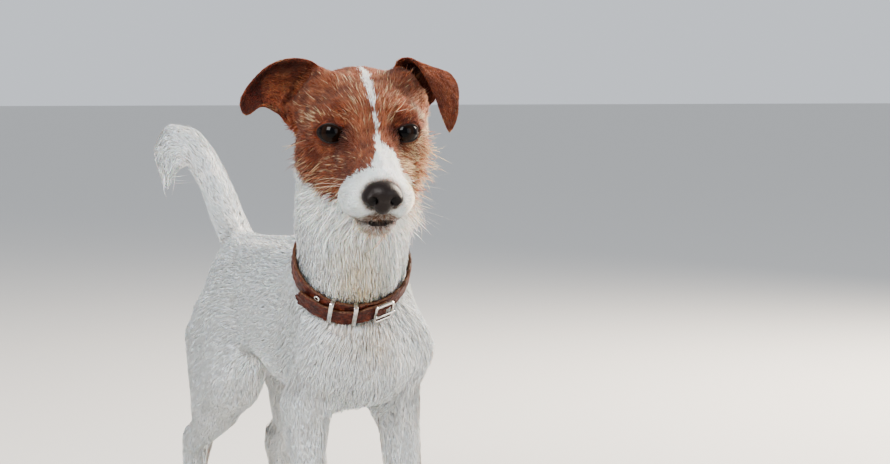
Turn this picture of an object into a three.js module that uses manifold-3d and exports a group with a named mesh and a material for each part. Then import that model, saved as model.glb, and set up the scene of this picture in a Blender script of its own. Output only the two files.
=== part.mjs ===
// A rough-coated terrier, life size, standing alert with its head turned to its right.
// Millimetres, +Z up. The dog faces -Y, so +X is its left side. The origin is on the floor,
// under the middle of the whole animal. All sizes run out to the tips of the coat.
import * as THREE from "three";
import { mergeVertices } from "three/addons/utils/BufferGeometryUtils.js";
import Module from "manifold-3d";

const wasm = await Module();
wasm.setup();

const { Vector3, Matrix4, MathUtils } = THREE;
const at = (x, y, z) => new Vector3(x, y, z);
const SIDES = { left: 1, right: -1 };

// ---------------------------------------------------------------- driving dimensions
const WITHERS_HEIGHT = 272;
const CHEST_HALF_WIDTH = 52;
const FLOOR = 0;
const CUT_GAP = 0.3; // the thin cut between neighbouring parts of the body
const SKIN_GAP = 0.6; // the gap round a piece that is let into the body
const EYE_RADIUS = 10.5;

const HEAD = {
  eyes: at(-35, -155, 355), // midway between the two eyeballs
  yaw: -18.5, // degrees about Z, towards the dog's right
  pitch: 18.5, // degrees, nose down
  eyeSpacing: 54,
};

// Grid steps of the faceted surfaces: fine on the face and feet, coarse on the back.
const STEP = { head: 9.8, neck: 18, trunk: 22, leg: 14, paw: 7.4, tail: 11.5, nose: 4.4 };

// ---------------------------------------------------------------- distance fields
// A field is a function (x, y, z) => distance to a surface, negative inside.

/** An ellipsoid, turned about X by tiltDeg. */
function ellipsoid(centre, rx, ry, rz, tiltDeg = 0) {
  const c = Math.cos(MathUtils.degToRad(tiltDeg));
  const s = Math.sin(MathUtils.degToRad(tiltDeg));
  return (x, y, z) => {
    const px = x - centre.x;
    const qy = y - centre.y;
    const qz = z - centre.z;
    const py = c * qy + s * qz;
    const pz = c * qz - s * qy;
    const k0 = Math.hypot(px / rx, py / ry, pz / rz);
    const k1 = Math.hypot(px / (rx * rx), py / (ry * ry), pz / (rz * rz));
    return k1 < 1e-9 ? -Math.min(rx, ry, rz) : (k0 * (k0 - 1)) / k1;
  };
}

/** A limb or muscle between two points, with its own radius at each end. */
function limb(a, b, ra, rb) {
  const d = b.clone().sub(a);
  const l2 = d.lengthSq();
  return (x, y, z) => {
    const px = x - a.x;
    const py = y - a.y;
    const pz = z - a.z;
    const t = Math.min(1, Math.max(0, (px * d.x + py * d.y + pz * d.z) / l2));
    return Math.hypot(px - d.x * t, py - d.y * t, pz - d.z * t) - (ra + (rb - ra) * t);
  };
}

/** Fields joined with a soft blend of that width. */
function blend(width, ...fields) {
  return (x, y, z) => {
    let d = fields[0](x, y, z);
    for (let i = 1; i < fields.length; i++) {
      const e = fields[i](x, y, z);
      const h = Math.max(width - Math.abs(d - e), 0) / width;
      d = Math.min(d, e) - h * h * width * 0.25;
    }
    return d;
  };
}

/** A field with another pressed out of it, with a soft edge. */
function hollow(width, field, tool) {
  return (x, y, z) => {
    const d = field(x, y, z);
    const e = -tool(x, y, z);
    const h = Math.max(width - Math.abs(d - e), 0) / width;
    return Math.max(d, e) + h * h * width * 0.25;
  };
}

/** A field placed by a matrix, so that it can be written in its own axes. */
function placed(matrix, field) {
  const m = matrix.clone().invert().elements;
  return (x, y, z) =>
    field(
      m[0] * x + m[4] * y + m[8] * z + m[12],
      m[1] * x + m[5] * y + m[9] * z + m[13],
      m[2] * x + m[6] * y + m[10] * z + m[14],
    );
}

// ---------------------------------------------------------------- surface of a field
// A cell's corners are numbered by their bits: 1 along X, 2 along Y, 4 along Z. Its edges are
// pairs of corners, and each of its faces is the list of the four edges round it.
const CORNERS = [0, 1, 2, 3, 4, 5, 6, 7].map((i) => at(i & 1, (i >> 1) & 1, i >> 2));
const BITS = [1, 2, 4];
const EDGES = CORNERS.flatMap((_, a) => BITS.filter((bit) => !(a & bit)).map((bit) => [a, a | bit]));
const FACES = BITS.flatMap((bit) =>
  [0, bit].map((side) => [...EDGES.keys()].filter((n) => EDGES[n].every((c) => (c & bit) === side))),
);

/** The edges of a cell that the surface crosses, grouped into the loops that it makes there. */
function crossingLoops(values) {
  const crossed = (n) => values[EDGES[n][0]] < 0 !== values[EDGES[n][1]] < 0;
  const next = [...EDGES.keys()];
  const root = (n) => (next[n] === n ? n : root(next[n]));
  const join = ([a, b]) => {
    next[root(a)] = root(b);
  };
  for (const face of FACES) {
    const cut = face.filter(crossed);
    if (cut.length === 2) join(cut);
    if (cut.length < 4) continue;
    const insideCorners = new Set(cut.map((n) => EDGES[n].find((c) => values[c] < 0)));
    for (const corner of insideCorners) join(cut.filter((n) => EDGES[n].includes(corner)));
  }
  const loops = new Map();
  for (const n of [...EDGES.keys()].filter(crossed)) {
    loops.set(root(n), [...(loops.get(root(n)) ?? []), n]);
  }
  return [...loops.values()];
}

/** The middle of the points where the surface crosses a cell's edges, in cells from its corner. */
function loopCentre(values, loop) {
  const sum = at(0, 0, 0);
  for (const n of loop) {
    const [a, b] = EDGES[n];
    sum.add(CORNERS[a].clone().lerp(CORNERS[b], values[a] / (values[a] - values[b])));
  }
  return sum.divideScalar(loop.length);
}

const MOST_PULL = 0.35; // how far a net's point may move to the surface, in steps of the grid

/** The closed surface where a field is zero, as a net with a point for each loop in each cell. */
function surfaceOf(field, low, high, step) {
  const n = ["x", "y", "z"].map((k) => Math.ceil((high[k] - low[k]) / step) + 1);
  const id = (i, j, k) => i + n[0] * (j + n[1] * k);
  const values = new Float32Array(n[0] * n[1] * n[2]);
  eachCell(n, (i, j, k) => {
    const rim = Math.min(i, j, k, n[0] - 1 - i, n[1] - 1 - j, n[2] - 1 - k) === 0;
    const d = field(low.x + i * step, low.y + j * step, low.z + k * step);
    values[id(i, j, k)] = rim ? Math.max(d, 0.5 * step) : d;
  });
  const pointOf = new Map(); // from 12 x a cell's number + an edge's
  const points = [];
  eachCell(n.map((count) => count - 1), (i, j, k) => {
    const v = CORNERS.map((c) => values[id(i + c.x, j + c.y, k + c.z)]);
    for (const loop of crossingLoops(v)) {
      for (const edge of loop) pointOf.set(12 * id(i, j, k) + edge, points.length);
      const p = loopCentre(v, loop).add(at(i, j, k)).multiplyScalar(step).add(low);
      points.push(pulled(field, p, MOST_PULL * step));
    }
  });
  const geometry = new THREE.BufferGeometry().setFromPoints(points);
  geometry.setIndex(netFaces(values, n, id, pointOf));
  return geometry;
}

/** Calls back for every cell of a grid of that many cells along each axis. */
function eachCell(n, callback) {
  for (let k = 0; k < n[2]; k++) {
    for (let j = 0; j < n[1]; j++) {
      for (let i = 0; i < n[0]; i++) callback(i, j, k);
    }
  }
}

/** The point moved down the field's slope to its surface, by no more than a given distance. */
function pulled(field, p, most) {
  const q = p.clone();
  const e = 0.4;
  for (let pass = 0; pass < 3; pass++) {
    const d = field(q.x, q.y, q.z);
    const g = at(
      field(q.x + e, q.y, q.z) - field(q.x - e, q.y, q.z),
      field(q.x, q.y + e, q.z) - field(q.x, q.y - e, q.z),
      field(q.x, q.y, q.z + e) - field(q.x, q.y, q.z - e),
    ).divideScalar(2 * e);
    q.addScaledVector(g, -d / Math.max(g.lengthSq(), 0.2));
  }
  return p.add(q.sub(p).clampLength(0, most));
}

/** The quads of the net as triangles: one for each grid edge that crosses the surface. */
function netFaces(values, n, id, pointOf) {
  const faces = [];
  const unit = [[1, 0, 0], [0, 1, 0], [0, 0, 1]];
  eachCell(n.map((count) => count - 1), (i, j, k) => {
    const inside = values[id(i, j, k)] < 0;
    for (let axis = 0; axis < 3; axis++) {
      const [dx, dy, dz] = unit[axis];
      if (inside === values[id(i + dx, j + dy, k + dz)] < 0) continue;
      const [u, w] = [unit[(axis + 1) % 3], unit[(axis + 2) % 3]];
      const [uBit, wBit] = [BITS[(axis + 1) % 3], BITS[(axis + 2) % 3]];
      const corner = (a, b) => {
        const cell = id(i - a * u[0] - b * w[0], j - a * u[1] - b * w[1], k - a * u[2] - b * w[2]);
        const from = (a ? uBit : 0) | (b ? wBit : 0);
        return pointOf.get(12 * cell + EDGES.findIndex(([p, q]) => p === from && q === (from | BITS[axis])));
      };
      const quad = [corner(0, 0), corner(1, 0), corner(1, 1), corner(0, 1)];
      if (!inside) quad.reverse();
      faces.push(quad[0], quad[1], quad[2], quad[0], quad[2], quad[3]);
    }
  });
  return faces;
}

// ---------------------------------------------------------------- solids
/** A closed geometry as a solid for joining and cutting. */
function solidOf(geometry, matrix = new Matrix4()) {
  const bare = geometry.clone();
  bare.deleteAttribute("normal");
  bare.deleteAttribute("uv");
  bare.applyMatrix4(matrix);
  const merged = mergeVertices(bare, 1e-4);
  return new wasm.Manifold(
    new wasm.Mesh({
      numProp: 3,
      vertProperties: merged.attributes.position.array,
      triVerts: new Uint32Array(merged.index.array),
    }),
  );
}

/** The half of space that lies from a point along a normal, as a large box. */
function halfSpace(point, normal, gap = CUT_GAP / 2) {
  const size = 1200;
  const n = normal.clone().normalize();
  const turn = new THREE.Quaternion().setFromUnitVectors(at(0, 0, 1), n);
  const middle = point.clone().addScaledVector(n, size / 2 + gap);
  const box = new THREE.BoxGeometry(size, size, size);
  return solidOf(box, new Matrix4().compose(middle, turn, at(1, 1, 1)));
}

/** A solid's surface, with the points that a cut leaves almost on top of each other made one. */
function geometryOf(solid) {
  const { vertProperties, triVerts } = solid.getMesh();
  const geometry = new THREE.BufferGeometry();
  geometry.setAttribute("position", new THREE.BufferAttribute(vertProperties, 3));
  geometry.setIndex(new THREE.BufferAttribute(triVerts, 1));
  return mergeVertices(geometry, 0.01);
}

/** The largest connected body of a solid: slivers that a cut leaves are dropped. */
function mainBody(solid) {
  const bodies = solidOf(geometryOf(solid)).decompose();
  return bodies.reduce((a, b) => (b.volume() > a.volume() ? b : a));
}

/** Adds a named mesh to a group. */
function addMesh(group, name, geometry, material) {
  const mesh = new THREE.Mesh(geometry, material);
  mesh.name = name;
  group.add(mesh);
  return mesh;
}

/** Adds the main body of a cut solid as a named mesh. */
function addSolid(name, solid, material) {
  const geometry = geometryOf(mainBody(solid));
  geometry.computeVertexNormals();
  return addMesh(dog, name, geometry, material);
}

// ---------------------------------------------------------------- head
// Head axes: origin midway between the eyes, -Y to the nose, +X to the dog's left, +Z up.
const headFrame = new Matrix4()
  .makeTranslation(HEAD.eyes)
  .multiply(new Matrix4().makeRotationZ(MathUtils.degToRad(HEAD.yaw)))
  .multiply(new Matrix4().makeRotationX(MathUtils.degToRad(HEAD.pitch)));

const BOTH = [SIDES.left, SIDES.right];
const pair = (make) => BOTH.map(make);

/** Braincase, forehead, brows, cheeks and the corners of the jaw. */
function skullField() {
  const braincase = ellipsoid(at(0, 36, 1), 45, 52, 36);
  const forehead = ellipsoid(at(0, 12, 9), 37, 29, 23);
  const brows = pair((s) => ellipsoid(at(s * 21, -2, 13), 13, 12, 9));
  const cheeks = pair((s) => ellipsoid(at(s * 30, 21, -15), 21, 29, 29));
  const jowls = pair((s) => ellipsoid(at(s * 21, 3, -34), 18, 27, 20));
  return blend(11, braincase, forehead, ...brows, ...cheeks, ...jowls);
}

/** Muzzle, whisker pads, lower jaw and chin, out to the tips of the beard. */
function muzzleField() {
  const bridge = limb(at(0, -8, -3), at(0, -64, -17), 16, 11.5);
  const upperJaw = limb(at(0, -8, -20), at(0, -57, -27), 24, 17);
  const pads = pair((s) => ellipsoid(at(s * 12.5, -55, -29), 14.5, 20, 14));
  const lowerJaw = limb(at(0, 0, -43), at(0, -53, -45), 18, 12);
  const beard = ellipsoid(at(0, -48, -52), 15, 19, 10);
  return blend(8, bridge, upperJaw, ...pads, lowerJaw, beard);
}

/** The low mounds that the ears grow from. */
function earRoots() {
  return [
    limb(at(28, 30, 30), at(42, 34, 12), 12, 12),
    limb(at(-30, 30, 28), at(-43, 34, 6), 12, 12),
  ];
}

/** The dip below each brow that the eye looks out of. */
function orbit(side) {
  return ellipsoid(at(side * (HEAD.eyeSpacing / 2 + 5), -15.5, -1), 13, 9.5, 10.5);
}

const headField = (() => {
  let face = blend(11, skullField(), muzzleField(), ...earRoots());
  for (const side of BOTH) face = hollow(5, face, orbit(side));
  return placed(headFrame, face);
})();

/** The nose leather in head axes: a rounded block, its wings a little lower. */
const noseBlock = blend(
  5,
  ellipsoid(at(0, -73, -21), 13.8, 12, 10.6, -14),
  ...pair((s) => ellipsoid(at(s * 8, -74, -25), 6.5, 9, 6)),
);

/** The nose with its two nostrils, which open to the front. */
const noseField = pair((s) => limb(at(s * 6.4, -87, -22), at(s * 5.6, -78, -23), 3.4, 2.6)).reduce(
  (nose, nostril) => hollow(2, nose, nostril),
  noseBlock,
);

// ---------------------------------------------------------------- neck and trunk
const NECK = {
  nape: at(-22, -111, 322),
  collar: at(-13.3, -87, 253),
  root: at(0, -44, 221),
  radius: 43.5,
  axis: at(-0.25, -0.715, 0.65).normalize(), // up the neck at the collar
};

const neckField = blend(
  10,
  limb(NECK.nape, NECK.collar, 48, NECK.radius),
  limb(NECK.collar, NECK.root, NECK.radius, 46),
);

const trunkField = (() => {
  const ribs = ellipsoid(at(0, -12, 203), CHEST_HALF_WIDTH, 90, 66);
  const withers = limb(at(0, -46, WITHERS_HEIGHT - 22), at(0, 0, 250), 20, 16);
  const forechest = ellipsoid(at(0, -88, 181), 37, 35, 37);
  const brisket = limb(at(0, -80, 160), at(0, -10, 158), 22, 22);
  const loin = limb(at(0, 16, 226), at(0, 104, 228), 44, 38);
  const belly = ellipsoid(at(0, 30, 204), 47, 74, 45);
  const croup = ellipsoid(at(0, 122, 227), 37, 42, 37);
  const buttocks = pair((s) => limb(at(s * 16, 126, 214), at(s * 22, 144, 180), 25, 20));
  return blend(13, ribs, withers, forechest, brisket, loin, belly, croup, ...buttocks);
})();

// ---------------------------------------------------------------- legs
/** Joint centres of a front leg on the left side; reach sets the foot forward. */
function frontJoints(reach) {
  return {
    blade: at(32, -54, 239),
    shoulder: at(33, -88, 187),
    elbow: at(41, -60, 142),
    wrist: at(41, -74 - reach * 0.7, 62),
    paw: at(40, -82 - reach, 0),
  };
}

/** Joint centres of a hind leg on the left side; reach sets the foot back. */
function hindJoints(reach) {
  return {
    hip: at(19, 110, 200),
    knee: at(36, 84, 142),
    hock: at(36, 152 + reach, 80),
    paw: at(38, 148 + reach, 0),
  };
}

const STANCE = {
  front_left: { side: SIDES.left, front: true, joints: frontJoints(4) },
  front_right: { side: SIDES.right, front: true, joints: frontJoints(-3) },
  hind_left: { side: SIDES.left, front: false, joints: hindJoints(-8) },
  hind_right: { side: SIDES.right, front: false, joints: hindJoints(10) },
};

function frontLegField(j) {
  const overPaw = j.paw.clone().add(at(0, 5, 24));
  const elbowPoint = j.elbow.clone().add(at(0, 11, -4));
  return blend(
    12,
    limb(j.blade, j.shoulder, 22, 22),
    limb(j.shoulder, j.elbow, 22, 18.5),
    limb(j.elbow, j.wrist, 18.5, 14),
    limb(j.wrist, overPaw, 14, 13),
    ellipsoid(elbowPoint, 13, 14, 14),
  );
}

function hindLegField(j) {
  const overPaw = j.paw.clone().add(at(0, 5, 24));
  const calf = j.knee.clone().lerp(j.hock, 0.4);
  const hamstring = [j.hip.clone().add(at(9, 30, -18)), j.knee.clone().lerp(j.hock, 0.35).add(at(2, 8, 0))];
  const hockPoint = j.hock.clone().add(at(0, 5, 3));
  return blend(
    12,
    limb(j.hip, j.knee, 32, 24),
    limb(...hamstring, 27, 21),
    limb(j.knee, calf, 22, 18),
    limb(calf, j.hock, 18, 11.5),
    limb(j.hock, overPaw, 12.5, 12),
    ellipsoid(hockPoint, 9, 9, 10),
  );
}

// A foot's axes: origin on the floor below the wrist or hock, -Y forward. Each toe runs from
// its knuckle down to the floor; there are two inner and two outer toes.
const TOES = [
  { x: 6.3, y: -15, reach: 9.5, radius: 7.8, splay: 0.8 },
  { x: 14.2, y: -8, reach: 8.5, radius: 7, splay: 2 },
];
const footWidth = (front) => (front ? 1 : 0.92);

function pawField({ side, front, joints }) {
  const wide = footWidth(front);
  const parts = [ellipsoid(at(0, 0, 10.5), 16 * wide, 16, 12.5), limb(at(0, 5, 26), at(0, 1, 14), 12.5, 13)];
  for (const toe of TOES) {
    for (const s of BOTH) {
      const knuckle = at(s * toe.x * wide, toe.y, 11.5);
      const end = knuckle.clone().add(at(s * toe.splay, -toe.reach, -5.5));
      parts.push(limb(knuckle, end, toe.radius, toe.radius - 1));
    }
  }
  return placed(footFrame(side, joints), blend(3.5, ...parts));
}

/** A foot's frame in the dog's; the feet turn out a little. */
function footFrame(side, joints) {
  return new Matrix4()
    .makeTranslation(side * joints.paw.x, joints.paw.y, FLOOR)
    .multiply(new Matrix4().makeRotationZ(MathUtils.degToRad(side * 5)));
}

/** A short curved cone, its root at the origin and its point along -Y and down. */
function clawGeometry() {
  const length = 11;
  const claw = new THREE.ConeGeometry(2.3, length, 5, 2);
  claw.translate(0, length / 2, 0).rotateX(Math.PI).rotateX(MathUtils.degToRad(12));
  const position = claw.attributes.position;
  for (let i = 0; i < position.count; i++) {
    const out = position.getY(i);
    position.setZ(i, position.getZ(i) - 0.024 * out * out);
  }
  return claw;
}

// ---------------------------------------------------------------- tail
/** The line of the tail: up from the croup, over to the right, with the tip hanging down. */
const tailLine = new THREE.CatmullRomCurve3([
  at(0, 138, 232),
  at(-2, 150, 258),
  at(-9, 167, 292),
  at(-18, 179, 322),
  at(-29, 188, 343),
  at(-40, 192, 347),
  at(-49, 194, 335),
  at(-49, 194, 316),
  at(-45, 193, 294),
]);
const TAIL = { rootRadius: 15.5, midRadius: 12, tipRadius: 3.2, taperFrom: 0.76, cutAt: 0.13 };

const tailField = (() => {
  const steps = 14;
  const points = tailLine.getSpacedPoints(steps);
  const radius = (t) =>
    t < TAIL.taperFrom
      ? MathUtils.lerp(TAIL.rootRadius, TAIL.midRadius, t / TAIL.taperFrom)
      : MathUtils.lerp(TAIL.midRadius, TAIL.tipRadius, (t - TAIL.taperFrom) / (1 - TAIL.taperFrom));
  const pieces = [];
  for (let i = 0; i < steps; i++) {
    pieces.push(limb(points[i], points[i + 1], radius(i / steps), radius((i + 1) / steps)));
  }
  return blend(4, ...pieces);
})();

// ---------------------------------------------------------------- whole body
const legFields = Object.values(STANCE).map((stance) => {
  const field = stance.front ? frontLegField(stance.joints) : hindLegField(stance.joints);
  return blend(6, placed(new Matrix4().makeScale(stance.side, 1, 1), field), pawField(stance));
});
const body = blend(11, blend(12, headField, neckField), trunkField, ...legFields, tailField);

// ---------------------------------------------------------------- ears
// Each ear is a sheet between two edges that run from its root to its tip, in axes that turn
// with the head but stay upright. The bow is how far the sheet's middle stands behind its edges.
const EARS = {
  ear_left: {
    inner: [at(18, 20, 36), at(27, 20, 52), at(36, 14, 53), at(43, 7, 38), at(51, 4, 20), at(60, 6, 2)],
    outer: [at(46, 34, 4), at(57, 33, 22), at(64, 30, 44), at(70, 21, 36), at(69, 14, 18), at(64, 8, 2)],
    bow: [14, 13, 4, -3, -3, 0],
  },
  ear_right: {
    inner: [
      at(-18, 22, 33), at(-31, 20, 48), at(-50, 24, 54.5), at(-71, 26, 51), at(-86, 23, 40), at(-88, 12, 35),
      at(-81, 4, 35),
    ],
    outer: [
      at(-44, 36, -4), at(-52, 32, 5), at(-62, 29, 13), at(-76, 22, 19), at(-91, 15, 15), at(-92, 6, 14),
      at(-82, 1, 21),
    ],
    bow: [13, 15, 15, 12, 5, 0, 0],
  },
};
const EAR_THICKNESS = 4.2;

const earFrame = new Matrix4()
  .makeTranslation(HEAD.eyes)
  .multiply(new Matrix4().makeRotationZ(MathUtils.degToRad(HEAD.yaw)));

/** A flat box of many segments, bent to follow the ear's sheet, thinner at its rim. */
function earSolid({ inner, outer, bow }) {
  const box = new THREE.BoxGeometry(1, 1, 1, 5, 11, 1);
  const innerEdge = new THREE.CatmullRomCurve3(inner);
  const outerEdge = new THREE.CatmullRomCurve3(outer);
  const bowLine = new THREE.SplineCurve(bow.map((b, i) => new THREE.Vector2(i / (bow.length - 1), b)));
  const sheet = (u, v) => {
    const closing = Math.max(0, (v - 0.86) / 0.14); // the edges close in to a round tip
    const w = 0.5 - 0.5 * Math.cos(Math.PI * u) * Math.sqrt(Math.max(0.03, 1 - closing * closing));
    const p = innerEdge.getPoint(v).lerp(outerEdge.getPoint(v), w);
    p.y += bowLine.getPoint(v).y * 4 * w * (1 - w);
    return p;
  };
  const position = box.attributes.position;
  const e = 0.02;
  for (let i = 0; i < position.count; i++) {
    const u = position.getX(i) + 0.5;
    const v = position.getY(i) + 0.5;
    const across = sheet(Math.min(1, u + e), v).sub(sheet(Math.max(0, u - e), v));
    const along = sheet(u, Math.min(1, v + e)).sub(sheet(u, Math.max(0, v - e)));
    const normal = across.cross(along).normalize();
    const rim = Math.min(1, 0.45 + 4 * Math.min(u, 1 - u, (1 - v) * 1.5));
    const p = sheet(u, v).addScaledVector(normal, position.getZ(i) * EAR_THICKNESS * rim);
    position.setXYZ(i, p.x, p.y, p.z);
  }
  return solidOf(box, earFrame);
}

// ---------------------------------------------------------------- collar
// Collar axes: +Y up the neck towards the head, +Z to the front, +X to the dog's left. Angles
// run round from the front towards the left.
const COLLAR = {
  radius: 43.2, // inside of the band
  thickness: 2.8,
  width: 15,
  endDrop: 6.5, // how far the loose end sags below the band
  endFrom: -60,
  endTo: 30,
  endLift: 1.5, // how far its torn tip springs away from the band
  buckleAt: 26,
  buckleOpening: 12.5,
  buckleWall: 2.2,
  prong: { radius: 1.1, length: 15 },
  keepersAt: [-22, 0],
  keeperWall: 1,
  keeperLength: 3.4,
  eyelet: { angle: -38, radius: 2.1, wire: 0.7, height: 4.5 },
  grooveMargin: 6, // how far the groove in the coat reaches out past the loose end
  facets: 36,
};
const collarFrame = (() => {
  const front = at(-0.4, -1, -0.6);
  front.addScaledVector(NECK.axis, -front.dot(NECK.axis)).normalize();
  return new Matrix4().makeBasis(NECK.axis.clone().cross(front), NECK.axis, front).setPosition(NECK.collar);
})();
const outerRadius = COLLAR.radius + COLLAR.thickness;
const endRadius = outerRadius + CUT_GAP;

/** The section of a strap: distance from the neck's line against height. */
function strapSection(inner, thickness, width) {
  const outer = inner + thickness;
  const half = width / 2;
  const outline = [[inner, -half], [outer, -half], [outer, half], [inner, half]];
  return outline.map(([r, y]) => new THREE.Vector2(r, y));
}

function bandGeometry() {
  const section = strapSection(COLLAR.radius, COLLAR.thickness, COLLAR.width);
  return new THREE.LatheGeometry([...section, section[0]], COLLAR.facets);
}

/** The sag of the loose end at an angle: none at the buckle, all of it past the keepers. */
const sagAt = (angle) => COLLAR.endDrop * (1 - MathUtils.smoothstep(angle, -14, 24));

/** The loose end: a straight slab bent round the band, sagging towards its torn tip. */
function looseEndGeometry() {
  const section = new THREE.Shape(strapSection(endRadius, COLLAR.thickness, COLLAR.width));
  const slab = new THREE.ExtrudeGeometry(section, { depth: 1, steps: 16, bevelEnabled: false });
  const position = slab.attributes.position;
  for (let i = 0; i < position.count; i++) {
    const angle = MathUtils.lerp(COLLAR.endTo, COLLAR.endFrom, position.getZ(i));
    const lift = COLLAR.endLift * (1 - MathUtils.smoothstep(angle, COLLAR.endFrom, COLLAR.endFrom + 22));
    const a = MathUtils.degToRad(angle);
    const r = position.getX(i) + lift;
    position.setXYZ(i, r * Math.sin(a), position.getY(i) - sagAt(angle), r * Math.cos(a));
  }
  return slab;
}

/** Sets a mesh on the collar: its X outwards, Y up the neck, Z along the strap. */
function seat(mesh, angle, radius, drop = 0) {
  const a = MathUtils.degToRad(angle);
  mesh.position.set(radius * Math.sin(a), -drop, radius * Math.cos(a));
  mesh.rotation.y = a - Math.PI / 2;
  return mesh;
}

/** A rounded rectangle, as a shape or as the hole in one. */
function roundedRectangle(Path, width, height, r) {
  const path = new Path();
  const w = width / 2 - r;
  const h = height / 2 - r;
  path.absarc(w, h, r, 0, Math.PI / 2);
  path.absarc(-w, h, r, Math.PI / 2, Math.PI);
  path.absarc(-w, -h, r, Math.PI, 1.5 * Math.PI);
  path.absarc(w, -h, r, 1.5 * Math.PI, 2 * Math.PI);
  return path;
}

/** A flat rectangular ring of metal with round corners, its thickness centred on Z = 0. */
function metalFrame(width, height, wall, depth) {
  const shape = roundedRectangle(THREE.Shape, width + 2 * wall, height + 2 * wall, wall + 1);
  shape.holes.push(roundedRectangle(THREE.Path, width, height, 1));
  const frame = new THREE.ExtrudeGeometry(shape, { depth, curveSegments: 2, bevelEnabled: false });
  return frame.translate(0, 0, -depth / 2);
}

/** A keeper's ring stands across the strap and holds both layers. */
function keeperGeometry(angle) {
  const opening = COLLAR.width + sagAt(angle) + 2 * SKIN_GAP;
  return metalFrame(2 * COLLAR.thickness + 3 * CUT_GAP, opening, COLLAR.keeperWall, COLLAR.keeperLength);
}

const keeperSize = (angle) => ({
  height: COLLAR.width + sagAt(angle) + 2 * SKIN_GAP + 2 * COLLAR.keeperWall,
  length: COLLAR.keeperLength,
  inside: COLLAR.radius - CUT_GAP - COLLAR.keeperWall,
});
const keeperRadius = COLLAR.radius + COLLAR.thickness + CUT_GAP / 2;
const buckleSize = {
  width: COLLAR.buckleOpening + 2 * COLLAR.buckleWall,
  height: COLLAR.width + 2 * SKIN_GAP + 2 * COLLAR.buckleWall,
};

/** A box over a piece of metal on the collar, from a radius outwards, that keeps the coat off it. */
function roomOver(angle, radius, height, length, drop = 0) {
  const reach = 30;
  const box = new THREE.BoxGeometry(reach, height + 2 * SKIN_GAP, length + 2 * SKIN_GAP);
  const room = seat(new THREE.Mesh(box), angle, radius - SKIN_GAP + reach / 2, drop);
  room.updateMatrix();
  return solidOf(box, collarFrame.clone().multiply(room.matrix));
}

/** The groove that the collar presses into the coat, with room for its keepers and buckle. */
function collarGroove() {
  const low = -COLLAR.width / 2 - COLLAR.endDrop - SKIN_GAP;
  const high = COLLAR.width / 2 + SKIN_GAP;
  const inner = COLLAR.radius - CUT_GAP;
  const outer = endRadius + COLLAR.thickness + COLLAR.grooveMargin;
  const section = [[inner, low], [outer, low], [outer, high], [inner, high], [inner, low]];
  const ring = new THREE.LatheGeometry(section.map(([r, y]) => new THREE.Vector2(r, y)), 32);
  const keeperRooms = COLLAR.keepersAt.map((angle) => {
    const { height, length, inside } = keeperSize(angle);
    return roomOver(angle, inside, height, length, sagAt(angle) / 2);
  });
  const buckleRoom = roomOver(COLLAR.buckleAt, COLLAR.radius, buckleSize.height, buckleSize.width);
  return [...keeperRooms, buckleRoom].reduce((a, b) => a.add(b), solidOf(ring, collarFrame));
}

// ---------------------------------------------------------------- the cuts between parts
// A plane is a point and a normal; a part keeps the side that the normal points to.
const flip = ([point, normal]) => [point, normal.clone().negate()];
const PLANES = {
  head: [at(-14, -92, 318), at(-0.08, -0.6, 0.8)],
  neck: [NECK.collar.clone().addScaledVector(NECK.axis, -19), NECK.axis],
  tail: [tailLine.getPoint(TAIL.cutAt), tailLine.getTangent(TAIL.cutAt)],
  ankle: [at(0, 0, 25), at(0, 0, 1)],
  floor: [at(0, 0, FLOOR), at(0, 0, 1)],
};

/** The planes round a leg: its top, its inner face, and one towards the middle of the trunk. */
function legPlanes({ side, front }) {
  if (front) {
    return [
      [at(0, 0, 150), at(0, 0, -1)],
      [at(side * 21, 0, 150), at(side, 0, -0.1)],
      [at(0, -28, 150), at(0, -1, -0.1)],
    ];
  }
  return [
    [at(0, 120, 180), at(0, 0.15, -1)],
    [at(side * 6, 0, 180), at(side, 0, 0)],
    [at(0, 54, 180), at(0, 1, 0)],
  ];
}

/** The space on the kept side of all the planes, drawn in (or out) by gap. */
function cell(planes, gap = CUT_GAP / 2) {
  return planes.map(([point, normal]) => halfSpace(point, normal, gap)).reduce((a, b) => a.intersect(b));
}

/** The body's surface inside a box. */
const flesh = (low, high, step) => solidOf(surfaceOf(body, low, high, step));

// ---------------------------------------------------------------- pieces of the body
const HEAD_BOX = [at(-140, -270, 270), at(60, -10, 420)];

function neckSolid() {
  return flesh(at(-100, -180, 150), at(80, 20, 370), STEP.neck)
    .intersect(cell([flip(PLANES.head), PLANES.neck]))
    .subtract(collarGroove());
}

function trunkSolid() {
  const whole = flesh(at(-80, -160, 120), at(80, 205, 300), STEP.trunk);
  const trunk = whole.intersect(cell([flip(PLANES.neck), flip(PLANES.tail)]));
  const tops = Object.values(STANCE).map((leg) => cell(legPlanes(leg), -CUT_GAP / 2));
  return tops.reduce((rest, top) => rest.subtract(top), trunk);
}

function tailSolid() {
  return flesh(at(-75, 110, 225), at(25, 215, 375), STEP.tail).intersect(cell([PLANES.tail]));
}

function legSolid(stance) {
  const across = stance.side > 0 ? [-20, 80] : [-80, 20];
  const along = stance.front ? [-135, 0] : [30, 205];
  const top = stance.front ? 180 : 225;
  return flesh(at(across[0], along[0], 10), at(across[1], along[1], top), STEP.leg).intersect(
    cell([...legPlanes(stance), PLANES.ankle]),
  );
}

function pawBox({ side, joints }) {
  const centre = at(side * joints.paw.x, joints.paw.y, 0);
  return [at(-28, -38, -12), at(28, 26, 34)].map((corner) => corner.add(centre));
}

function pawSolid(stance) {
  return flesh(...pawBox(stance), STEP.paw)
    .intersect(cell([flip(PLANES.ankle)]))
    .intersect(cell([PLANES.floor], 0));
}

const NOSE_BOX = [at(-22, -94, -42), at(22, -54, 0)];

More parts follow.
